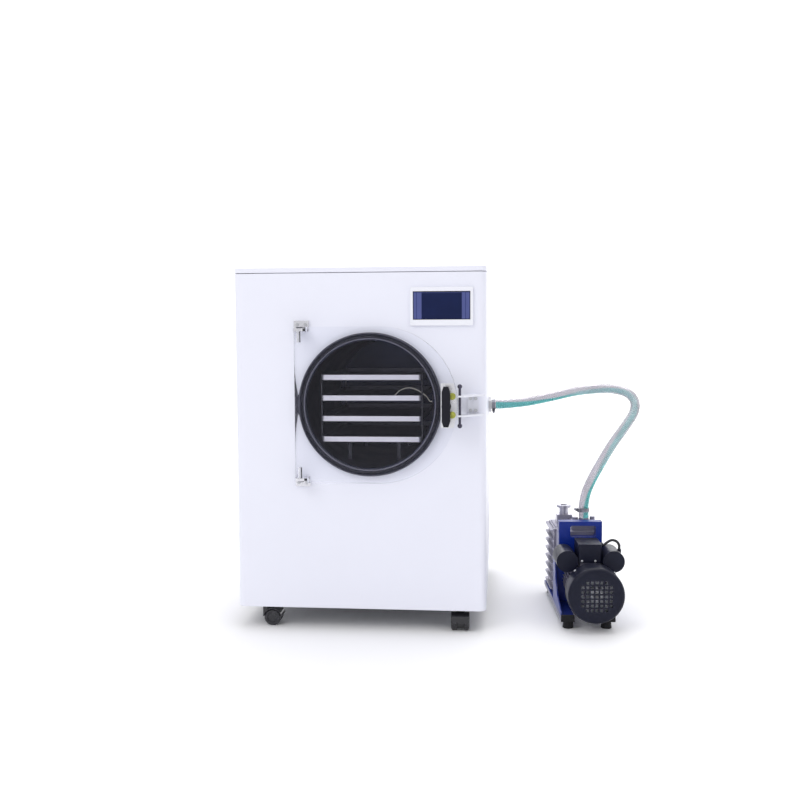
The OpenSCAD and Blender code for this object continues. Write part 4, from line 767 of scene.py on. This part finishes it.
class FREEZE_OT_cabinet(bpy.types.Operator):
    """Powder-coated cabinet with its floor pan, fasteners, mains inlet and switch"""

    bl_idname = "freeze_dryer.cabinet"
    bl_label = "Finish the Cabinet"

    def execute(self, context):
        look = context.scene.freeze_cabinet
        finish(
            "cabinet_wrap rear_panel top_lid", "white_enamel", look.enamel, rough=look.enamel_gloss,
            rough_span=0.08, shade=0.025, speckle=(1300.0, 0.16), rounded=0.0012, patches=(3.5, 0.3),
            dust=(30.0, 0.05), coat=0.06,
        )
        finish(
            "base_frame electrical_box", "galvanised_frame", (0.46, 0.47, 0.50), rough=0.42,
            rough_span=0.2, shade=0.3, metal=0.85, speckle=(160.0, 0.1), rounded=0.0006,
            patches=(60.0, 0.12), dust=(40.0, 0.3),
        )
        finish(
            "cabinet_screws", "screw_steel", (0.62, 0.63, 0.66), rough=0.28, rough_span=0.12, shade=0.2,
            metal=1.0, brushed=((1.0, 1.0, 0.3), 2600.0, 0.12), rounded=0.0004, patches=(120.0, 0.2),
        )
        finish(
            "power_inlet", "inlet_plastic", (0.014, 0.014, 0.016), rough=0.42, shade=0.2,
            speckle=(1900.0, 0.3), rounded=0.0006, patches=(40.0, 0.2), dust=(50.0, 0.25),
        )
        finish(
            "main_switch", "switch_plastic", (0.020, 0.020, 0.024), rough=0.22, shade=0.2,
            speckle=(1500.0, 0.08), rounded=0.0008, patches=(50.0, 0.2), coat=0.3,
        )
        # Brass blades of the inlet, and the two marks on the rocker
        low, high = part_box("power_inlet")
        middle = np.array([(low.x + high.x) / 2, high.y, (low.z + high.z) / 2])
        brass = finish_of(
            "inlet_blades", (0.66, 0.47, 0.20), rough=0.3, shade=0.25, metal=1.0,
            brushed=((1.0, 0.05, 1.0), 2200.0, 0.1), rounded=0.0003, patches=(150.0, 0.2),
        )
        axes = ((1, 0, 0), (0, 0, -1), (0, 1, 0))
        for i, (x, z) in enumerate(BLADE_PLACES):
            points, faces = plate(middle + [x, -BLADE_DEPTH, z], *BLADE_SIZE, axes, 0.0009)
            add_piece(f"inlet_blade_{i + 1}", points, faces, "machine", brass, smooth=False)
        across = np.array([1.0, 0.0, 0.0])
        up = np.array([0.0, -math.sin(ROCKER_TILT), math.cos(ROCKER_TILT)])
        out = np.cross(up, across)
        mark = finish_of(
            "rocker_marks", (0.82, 0.82, 0.80), rough=0.5, shade=0.1, speckle=(1500.0, 0.05),
            patches=(200.0, 0.2),
        )
        face = cabinet(ROCKER_PIVOT) + ROCKER_FACE * out
        place = face + MARK_SHIFT * up
        bar, bar_faces = plate(place, 0.0009, 0.0052, 0.0002, (across, -up, out), 0.0)
        add_piece("rocker_bar", bar, bar_faces, "power_switch", mark, smooth=False)
        ring_profile = [(0.0026, 0.0), (0.0026, 0.0002), (0.0018, 0.0002), (0.0018, 0.0)]
        ring = turned(ring_profile, face - MARK_SHIFT * up, out, across, around=36)
        add_piece(
            "rocker_ring", ring, grid_faces(4, 36, closed_rows=True), "power_switch", mark,
            smooth=False,
        )
        return {"FINISHED"}


class FREEZE_OT_casters(bpy.types.Operator):
    """Twin-wheel casters in glossy black nylon"""

    bl_idname = "freeze_dryer.casters"
    bl_label = "Finish the Casters"

    def execute(self, context):
        look = context.scene.freeze_cabinet
        finish(
            "caster_hood_fl caster_hood_fr caster_hood_rl caster_hood_rr", "caster_nylon", look.nylon,
            rough=0.2, rough_span=0.1, shade=0.3, speckle=(1400.0, 0.06), rounded=0.0012,
            patches=(45.0, 0.2), worn=((0.05, 0.05, 0.06), 0.001, 120.0), dust=(60.0, 0.03), coat=0.4,
        )
        finish(
            "caster_wheels_fl caster_wheels_fr caster_wheels_rl caster_wheels_rr", "wheel_nylon",
            look.nylon, rough=0.27, rough_span=0.16, shade=0.35, speckle=(1000.0, 0.1), rounded=0.0008,
            patches=(70.0, 0.2), worn=((0.05, 0.05, 0.06), 0.0014, 90.0), dust=(80.0, 0.05), coat=0.25,
        )
        return {"FINISHED"}


# ---- Touch screen ----


def display_material(look, low, high):
    """The lit panel behind gloss glass. Smooth steps across x and z make the bands: a deep centre,
    lighter bands at both sides, and a thin dark frame."""
    material, tree, shader = new_material("screen_glass")
    place = tree.add("ShaderNodeSeparateXYZ", {0: tree.object_place()})
    width, height = high.x - low.x, high.z - low.z
    u = tree.spread(place.outputs["X"], low.x, high.x)
    v = tree.spread(place.outputs["Z"], low.z, high.z)

    edge_u, edge_v = 0.0012 / width, 0.0012 / height
    lit_u, lit_v = tree.band(u, edge_u, 1 - edge_u, 0.006), tree.band(v, edge_v, 1 - edge_v, 0.012)
    lit = tree.math("MULTIPLY", lit_u, lit_v)
    centre = tree.band(u, 0.145, 0.86, 0.012)
    top_bar = tree.band(v, 0.93, 1.0, 0.012)
    # Thin darker lines between the buttons in the bands
    lines = tree.math("ADD", tree.band(u, 0.050, 0.075, 0.01), tree.band(u, 0.905, 0.930, 0.01), clamp=True)
    glow = tree.noise(tree.object_place(), 22.0, 2.0)
    side = tree.mix(glow, rgba(look.screen_side, 0.8), rgba(look.screen_side, 1.25))
    deep = tree.mix(glow, rgba(look.screen_centre, 0.8), rgba(look.screen_centre, 1.3))
    side = tree.mix(tree.math("MULTIPLY", lines, 0.6), side, rgba(look.screen_centre, 2.0))
    colour = tree.mix(centre, side, deep)
    colour = tree.mix(tree.math("MULTIPLY", top_bar, 0.5), colour, rgba((0.05, 0.06, 0.15)))
    colour = tree.mix(lit, rgba((0.008, 0.008, 0.014)), colour)
    smudge = tree.noise(tree.object_place(), 60.0, 5.0, 0.7)
    tree.feed(shader, {
        "Base Color": colour,
        "Emission Color": colour,
        "Roughness": tree.spread(smudge, 0.3, 0.7, 0.06, 0.16),
        "Emission Strength": 0.2,
        "Coat Weight": 0.1,
        "Coat Roughness": 0.03,
        "Specular IOR Level": 0.06,
    })
    return material


class FREEZE_OT_screen(bpy.types.Operator):
    """Touch screen: moulded bezel, and a display with lighter bands at its sides"""

    bl_idname = "freeze_dryer.screen"
    bl_label = "Finish the Screen"

    def execute(self, context):
        look = context.scene.freeze_cabinet
        finish(
            "screen_bezel", "bezel_plastic", (0.83, 0.84, 0.90), rough=0.26, rough_span=0.08, shade=0.02,
            speckle=(1700.0, 0.08), rounded=0.0016, patches=(12.0, 0.3), coat=0.25,
        )
        dress("screen_glass", display_material(look, *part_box("screen_glass")))
        return {"FINISHED"}


# ---- Chamber ----


class FREEZE_OT_chamber(bpy.types.Operator):
    """Steel chamber with its seal, insulation and cooling coil, and the trays on their rack"""

    bl_idname = "freeze_dryer.chamber"
    bl_label = "Finish the Chamber"

    def execute(self, context):
        look = context.scene.freeze_chamber
        low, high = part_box("door_gasket")
        middle, outer = (low + high) / 2, (high.x - low.x) / 2

        # Lighter rings on the seal, from `inner` to `rim` in from its outer edge: painted highlights on its
        # lips.
        def painted_highlight_ring(inner, rim):
            return lambda t: t.band(t.reach(middle, "XZ"), outer - inner, outer - rim, 0.001)

        tray_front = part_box("tray_1")[0].y
        # The chamber's wall takes a near-black, bluish steel: painted shade for the unlit inside of the
        # chamber.
        finish(
            "vacuum_chamber", "chamber_steel", look.drum_painted_shade, rough=0.3, rough_span=0.14, shade=0.3,
            metal=1.0, brushed=((1.0, 0.03, 1.0), 1500.0, 0.12), rounded=0.0008, patches=(14.0, 0.25),
        )
        finish(
            "door_gasket", "seal_rubber", look.seal, rough=0.42, rough_span=0.14, shade=0.25,
            speckle=(1600.0, 0.12), rounded=0.0007, patches=(26.0, 0.2), dust=(70.0, 0.06),
            specular=0.35,
            # Two painted highlights: a ring round the inner lip, and one near the outer rim.
            accents=[
                (painted_highlight_ring(0.0163, 0.0125), (0.13, 0.13, 0.17)),
                (painted_highlight_ring(0.0035, 0.0010), (0.06, 0.06, 0.09)),
            ],
        )
        finish(
            "chamber_insulation", "insulation_foam", (0.70, 0.60, 0.34), rough=0.85, shade=0.25,
            speckle=(260.0, 0.9), rounded=0.003, patches=(18.0, 0.2), dust=(30.0, 0.3),
        )
        finish(
            "evaporator_coil refrigerant_pipes", "copper_tube", (0.56, 0.25, 0.13), rough=0.34,
            rough_span=0.24, shade=0.45, metal=1.0, speckle=(700.0, 0.08), patches=(28.0, 0.18),
        )
        # The rack's steel is made nearly black: painted shade for the rack standing in the dark chamber.
        finish(
            "shelf_rack", "rack_steel", (0.07, 0.07, 0.085), rough=0.34, rough_span=0.14, shade=0.3,
            metal=1.0, brushed=((0.04, 1.0, 1.0), 1500.0, 0.12), rounded=0.0004, patches=(22.0, 0.2),
        )
        finish(
            "tray_1 tray_2 tray_3 tray_4", "tray_steel", look.steel, rough=0.36, rough_span=0.12,
            shade=0.12, metal=0.75, brushed=((0.03, 1.0, 1.0), 1700.0, 0.1), rounded=0.0006,
            patches=(20.0, 0.25),
            # The trays darken from 2 mm to 20 mm behind their front: painted shade inside the trays, whose
            # steel is the same all through.
            accents=[(
                lambda t: t.spread(t.along("Y"), tray_front + 0.002, tray_front + 0.02), (0.16, 0.16, 0.2)
            )],
        )
        return {"FINISHED"}


# ---- Door ----


def acrylic_material(look):
    """Cast acrylic: polished faces that pass light, with faint wiping marks and a tint in the edge."""
    material, tree, shader = new_material("door_acrylic")
    wiped = group_node(tree, "Handling", Scale=7.0, Sharpness=0.3)["Mask"]
    place = tree.object_place()
    streak = tree.vector("MULTIPLY", place, (1.0, 1.0, 0.08))
    marks = tree.noise(streak.outputs[0], 90.0, 4.0, 0.6)
    tree.feed(shader, {
        "Base Color": tree.mix(wiped, rgba(look.door_tint), rgba(look.door_tint, 0.97)),
        "Roughness": tree.spread(marks, 0.4, 0.75, 0.0, 0.035),
        "Transmission Weight": 1.0,
        "IOR": 1.49,
        "Specular Tint": rgba((0.30, 0.30, 0.36)),
    })
    output = next(node for node in tree.tree.nodes if node.type == "OUTPUT_MATERIAL")
    rays = tree.add("ShaderNodeLightPath").outputs
    clear = tree.add("ShaderNodeBsdfTransparent", {"Color": rgba((0.985, 0.988, 1.0))})
    hidden = tree.math("MAXIMUM", rays["Is Shadow Ray"], rays["Is Diffuse Ray"])
    both = tree.add("ShaderNodeMixShader", {0: hidden, 1: shader.outputs["BSDF"], 2: clear.outputs["BSDF"]})
    tree.feed(output, {"Surface": both.outputs[0]})
    return material


class FREEZE_OT_door(bpy.types.Operator):
    """Clear acrylic door with its hinges, and the turning latch with the bracket that it holds to"""

    bl_idname = "freeze_dryer.door"
    bl_label = "Finish the Door"

    def execute(self, context):
        look = context.scene.freeze_chamber
        dress("door_panel", acrylic_material(look))
        low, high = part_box("hinge_brackets")
        pin = ((low.x + high.x) / 2, low.y + 0.015, 0.0)
        finish(
            "hinge_brackets", "hinge_steel", (0.86, 0.86, 0.91), rough=0.2, rough_span=0.12, shade=0.25,
            metal=1.0, brushed=((1.0, 1.0, 0.05), 1900.0, 0.1), rounded=0.0008, patches=(60.0, 0.2),
            accents=[(lambda t: t.band(t.reach(pin, "XY"), 0.0042, 0.0100, 0.0012), (0.10, 0.10, 0.13))],
        )
        finish(
            "strike_bracket", "bracket_enamel", (0.80, 0.81, 0.88), rough=0.34, shade=0.03,
            speckle=(1300.0, 0.14), rounded=0.0008, patches=(24.0, 0.25), coat=0.1,
        )
        finish(
            "strike_rod", "dark_steel", (0.095, 0.09, 0.13), rough=0.24, rough_span=0.12, shade=0.35,
            metal=0.9, brushed=((1.0, 1.0, 0.05), 1900.0, 0.08), rounded=0.0004, patches=(50.0, 0.2),
        )
        finish(
            "latch_plate latch_cam", "latch_steel", (0.90, 0.90, 0.94), rough=0.26, rough_span=0.12,
            shade=0.15, metal=0.8, brushed=((1.0, 1.0, 0.04), 2000.0, 0.12), rounded=0.0006,
            patches=(40.0, 0.2),
        )
        finish(
            "latch_bolts", "yellow_zinc", (0.62, 0.64, 0.14), rough=0.28, rough_span=0.16, shade=0.35,
            metal=0.9, speckle=(900.0, 0.08), rounded=0.0006, patches=(90.0, 0.15),
        )
        finish(
            "latch_knob", "knob_plastic", (0.007, 0.007, 0.014), rough=0.34, rough_span=0.12, shade=0.25,
            speckle=(1500.0, 0.1), rounded=0.0016, patches=(50.0, 0.2),
            worn=((0.04, 0.04, 0.05), 0.001, 100.0), coat=0.05, specular=0.22,
        )
        return {"FINISHED"}


# ---- Cooling machine ----


class FREEZE_OT_cooling(bpy.types.Operator):
    """Compressor, condenser and fan behind the rear panel"""

    bl_idname = "freeze_dryer.cooling"
    bl_label = "Finish the Cooling Machine"

    def execute(self, context):
        finish(
            "compressor", "compressor_enamel", (0.012, 0.012, 0.014), rough=0.32, rough_span=0.16,
            shade=0.3, speckle=(500.0, 0.2), rounded=0.001, patches=(16.0, 0.2),
            worn=((0.16, 0.15, 0.15), 0.0014, 60.0), dust=(36.0, 0.45),
        )
        finish(
            "condenser", "condenser_fins", (0.58, 0.59, 0.61), rough=0.36, rough_span=0.16, shade=0.3,
            metal=0.95, brushed=((1.0, 1.0, 0.05), 1300.0, 0.15), patches=(36.0, 0.2), dust=(60.0, 0.4),
        )
        finish(
            "fan_housing", "fan_shroud", (0.030, 0.031, 0.034), rough=0.46, shade=0.3,
            speckle=(900.0, 0.25), rounded=0.0008, patches=(20.0, 0.2), dust=(40.0, 0.4),
        )
        finish(
            "fan_blade", "fan_plastic", (0.016, 0.016, 0.018), rough=0.4, shade=0.3,
            speckle=(1200.0, 0.15), rounded=0.0005, patches=(36.0, 0.2),
            worn=((0.06, 0.06, 0.06), 0.0008, 90.0), dust=(60.0, 0.3),
        )
        return {"FINISHED"}


# ---- Vacuum line and drain ----


class FREEZE_OT_line(bpy.types.Operator):
    """Clamps at both ends of the hose, and the drain valve at the rear"""

    bl_idname = "freeze_dryer.line"
    bl_label = "Finish the Vacuum Line"

    def execute(self, context):
        finish(
            "hose_clamps", "clamp_steel", (0.30, 0.30, 0.34), rough=0.32, rough_span=0.16, shade=0.35,
            metal=0.9, brushed=((1.0, 1.0, 0.1), 1900.0, 0.12), rounded=0.0004, patches=(80.0, 0.2),
        )
        finish(
            "drain_valve vacuum_port", "valve_steel", (0.58, 0.58, 0.60), rough=0.28, rough_span=0.14,
            shade=0.25, metal=1.0, brushed=((1.0, 0.05, 1.0), 1900.0, 0.1), rounded=0.0006,
            patches=(60.0, 0.2),
        )
        finish(
            "drain_handle", "handle_vinyl", (0.42, 0.02, 0.02), rough=0.36, shade=0.25,
            speckle=(1000.0, 0.15), rounded=0.0012, patches=(60.0, 0.2), dust=(70.0, 0.1), coat=0.15,
        )
        return {"FINISHED"}


# ---- Pump ----

# In the pump's frame: the fan cover's axis and radius, where its screws stand and at which angles,
# and the foot of the terminal box's front with its two screws beside it
COVER_Z = 0.092
COVER_R = 0.067
COVER_SCREW_Y = 0.052
COVER_SCREW_TURNS = np.radians([48, 138, 228, 318])
BOX_SCREW_SHIFTS = [-0.016, 0.016]
BOX_FOOT = (-0.009, 0.072, 0.1605)


def pan_head(name, size, foot, axis, side, material):
    """Head of a small screw of radius size, revolved from a profile that steps in twice:
    (r, z) = size * (1, -0.11), (1, 0.19), (0.86, 0.44), (0.5, 0.58)."""
    profile = [(r * size, z * size) for r, z in ((1, -0.11), (1, 0.19), (0.86, 0.44), (0.5, 0.58))]
    points = turned(profile, foot, axis, side, around=24)
    add_piece(name, points, capped(len(profile), 24), "machine", material)


class FREEZE_OT_screws(bpy.types.Operator):
    """Screws round the fan cover's rim and at the terminal box's foot"""

    bl_idname = "freeze_dryer.screws"
    bl_label = "Add the Pump's Screws"

    def execute(self, context):
        steel = bpy.data.materials["screw_steel"]
        c, s = math.cos(PUMP_TURN), math.sin(PUMP_TURN)
        rear = np.array([-s, c, 0.0])
        right = np.array([c, s, 0.0])
        for i, angle in enumerate(COVER_SCREW_TURNS):
            out = math.sin(angle) * right + math.cos(angle) * np.array([0.0, 0.0, 1.0])
            foot = pump([COVER_R * math.sin(angle), COVER_SCREW_Y, COVER_Z + COVER_R * math.cos(angle)])
            pan_head(f"cover_screw_{i + 1}", 0.0036, foot, out, rear, steel)
        for i, shift in enumerate(BOX_SCREW_SHIFTS):
            foot = pump([BOX_FOOT[0] + shift, BOX_FOOT[1], BOX_FOOT[2]])
            pan_head(f"box_screw_{i + 1}", 0.0029, foot, -rear, right, steel)
        return {"FINISHED"}


class FREEZE_OT_pump(bpy.types.Operator):
    """Two-stage vacuum pump: blue frame, finned oil case, motor, covers and feet"""

    bl_idname = "freeze_dryer.pump"
    bl_label = "Finish the Pump"

    def execute(self, context):
        look = context.scene.freeze_pump
        # The frame's edges take a lighter lilac grey: partly paint wear, partly a painted highlight along
        # its outer edges.
        finish(
            "pump_frame", "blue_enamel", look.blue, rough=0.34, rough_span=0.12, shade=0.22,
            speckle=(700.0, 0.12), rounded=0.0012, patches=(20.0, 0.22),
            worn=((0.30, 0.32, 0.42), 0.0016, 26.0), dust=(45.0, 0.06), coat=0.08, specular=0.25,
            accents=[(lambda t: t.spread(t.along("Z"), 0.0300, 0.0310, 1.0, 0.0), (0.20, 0.20, 0.27))],
        )
        finish(
            "oil_case inlet_fitting pump_module", "pump_casting", look.casting, rough=0.42,
            rough_span=0.16, shade=0.14, metal=0.45, speckle=(520.0, 0.35), rounded=0.0012,
            patches=(24.0, 0.2), worn=((0.62, 0.61, 0.68), 0.0012, 60.0), dust=(50.0, 0.15),
        )
        finish(
            "motor_body", "motor_casting", tuple(0.86 * c for c in look.casting), rough=0.44,
            rough_span=0.14, shade=0.2, metal=0.4, speckle=(620.0, 0.3), rounded=0.0006,
            patches=(30.0, 0.2), dust=(50.0, 0.25),
        )
        finish(
            "fan_cover terminal_box capacitor_covers", "cover_plastic", look.covers, rough=0.36,
            rough_span=0.14, shade=0.25, speckle=(1200.0, 0.16), rounded=0.001, patches=(30.0, 0.2),
            worn=((0.05, 0.05, 0.07), 0.0012, 70.0), dust=(55.0, 0.02), specular=0.2,
        )
        finish(
            "exhaust_fitting", "fitting_metal", (0.55, 0.54, 0.62), rough=0.26, rough_span=0.14,
            shade=0.2, metal=0.95, brushed=((0.05, 0.05, 1.0), 1700.0, 0.12), rounded=0.0008,
            patches=(50.0, 0.2),
        )
        finish(
            "motor_rotor", "rotor_steel", (0.46, 0.46, 0.48), rough=0.28, shade=0.25, metal=1.0,
            brushed=((1.0, 0.05, 1.0), 1700.0, 0.1), rounded=0.0005, patches=(40.0, 0.2),
        )
        finish(
            "pump_feet", "foot_rubber", (0.008, 0.008, 0.011), rough=0.62, shade=0.3,
            speckle=(800.0, 0.3), rounded=0.001, patches=(50.0, 0.2), dust=(50.0, 0.12), specular=0.3,
        )
        # The motor's fan is made pale so that the fan cover's holes read bright: painted light, standing in
        # for light seen through the grille.
        finish(
            "motor_fan", "pale_nylon", (0.88, 0.89, 0.95), rough=0.4, shade=0.12, speckle=(900.0, 0.15),
            rounded=0.0005, patches=(36.0, 0.2), dust=(60.0, 0.15),
        )
        glass, tree, shader = new_material("sight_glass")
        low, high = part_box("sight_glass")
        height = tree.along("Z")
        level = (low.z + high.z) / 2 + 0.002
        oil = tree.spread(height, level - 0.0004, level + 0.0004, 1.0, 0.0)
        cloud = group_node(tree, "Handling", Scale=60.0, Sharpness=0.2)["Mask"]
        amber = tree.mix(cloud, rgba((0.62, 0.36, 0.06)), rgba((0.50, 0.26, 0.03)))
        tree.feed(shader, {
            "Base Color": tree.mix(oil, rgba((0.75, 0.78, 0.78)), amber),
            "Roughness": tree.spread(cloud, 0.0, 1.0, 0.03, 0.1),
            "Transmission Weight": 0.6,
            "IOR": 1.45,
        })
        dress("sight_glass", glass)
        return {"FINISHED"}


# ---- Panel and registration ----


class FREEZE_PT_panel(bpy.types.Panel):
    """Lists the operators and the settings of the freeze dryer"""

    bl_idname = "FREEZE_PT_panel"
    bl_label = "Freeze Dryer"
    bl_space_type = "VIEW_3D"
    bl_region_type = "UI"
    bl_category = "Freeze Dryer"

    def draw(self, context):
        layout = self.layout
        for operator in OPERATORS:
            layout.operator(operator.bl_idname)
        for key, group in SETTINGS.items():
            box = layout.box()
            settings = getattr(context.scene, key)
            for name in group.__annotations__:
                box.prop(settings, name)


OPERATORS = (
    FREEZE_OT_stage,
    FREEZE_OT_hose,
    FREEZE_OT_leads,
    FREEZE_OT_cabinet,
    FREEZE_OT_casters,
    FREEZE_OT_screen,
    FREEZE_OT_chamber,
    FREEZE_OT_door,
    FREEZE_OT_cooling,
    FREEZE_OT_line,
    FREEZE_OT_pump,
    FREEZE_OT_screws,
)
SETTINGS = {
    "freeze_stage": FREEZE_PG_stage,
    "freeze_cabinet": FREEZE_PG_cabinet,
    "freeze_chamber": FREEZE_PG_chamber,
    "freeze_hose": FREEZE_PG_hose,
    "freeze_pump": FREEZE_PG_pump,
}
CLASSES = (*SETTINGS.values(), *OPERATORS, FREEZE_PT_panel)


def register():
    for item in CLASSES:
        bpy.utils.register_class(item)
    for key, group in SETTINGS.items():
        setattr(bpy.types.Scene, key, PointerProperty(type=group))


def unregister():
    for key in SETTINGS:
        delattr(bpy.types.Scene, key)
    for item in reversed(CLASSES):
        bpy.utils.unregister_class(item)


def main():
    register()
    for operator in OPERATORS:
        getattr(bpy.ops.freeze_dryer, operator.bl_idname.split(".")[1])()
    bpy.context.view_layer.update()


if __name__ == "__main__":
    main()
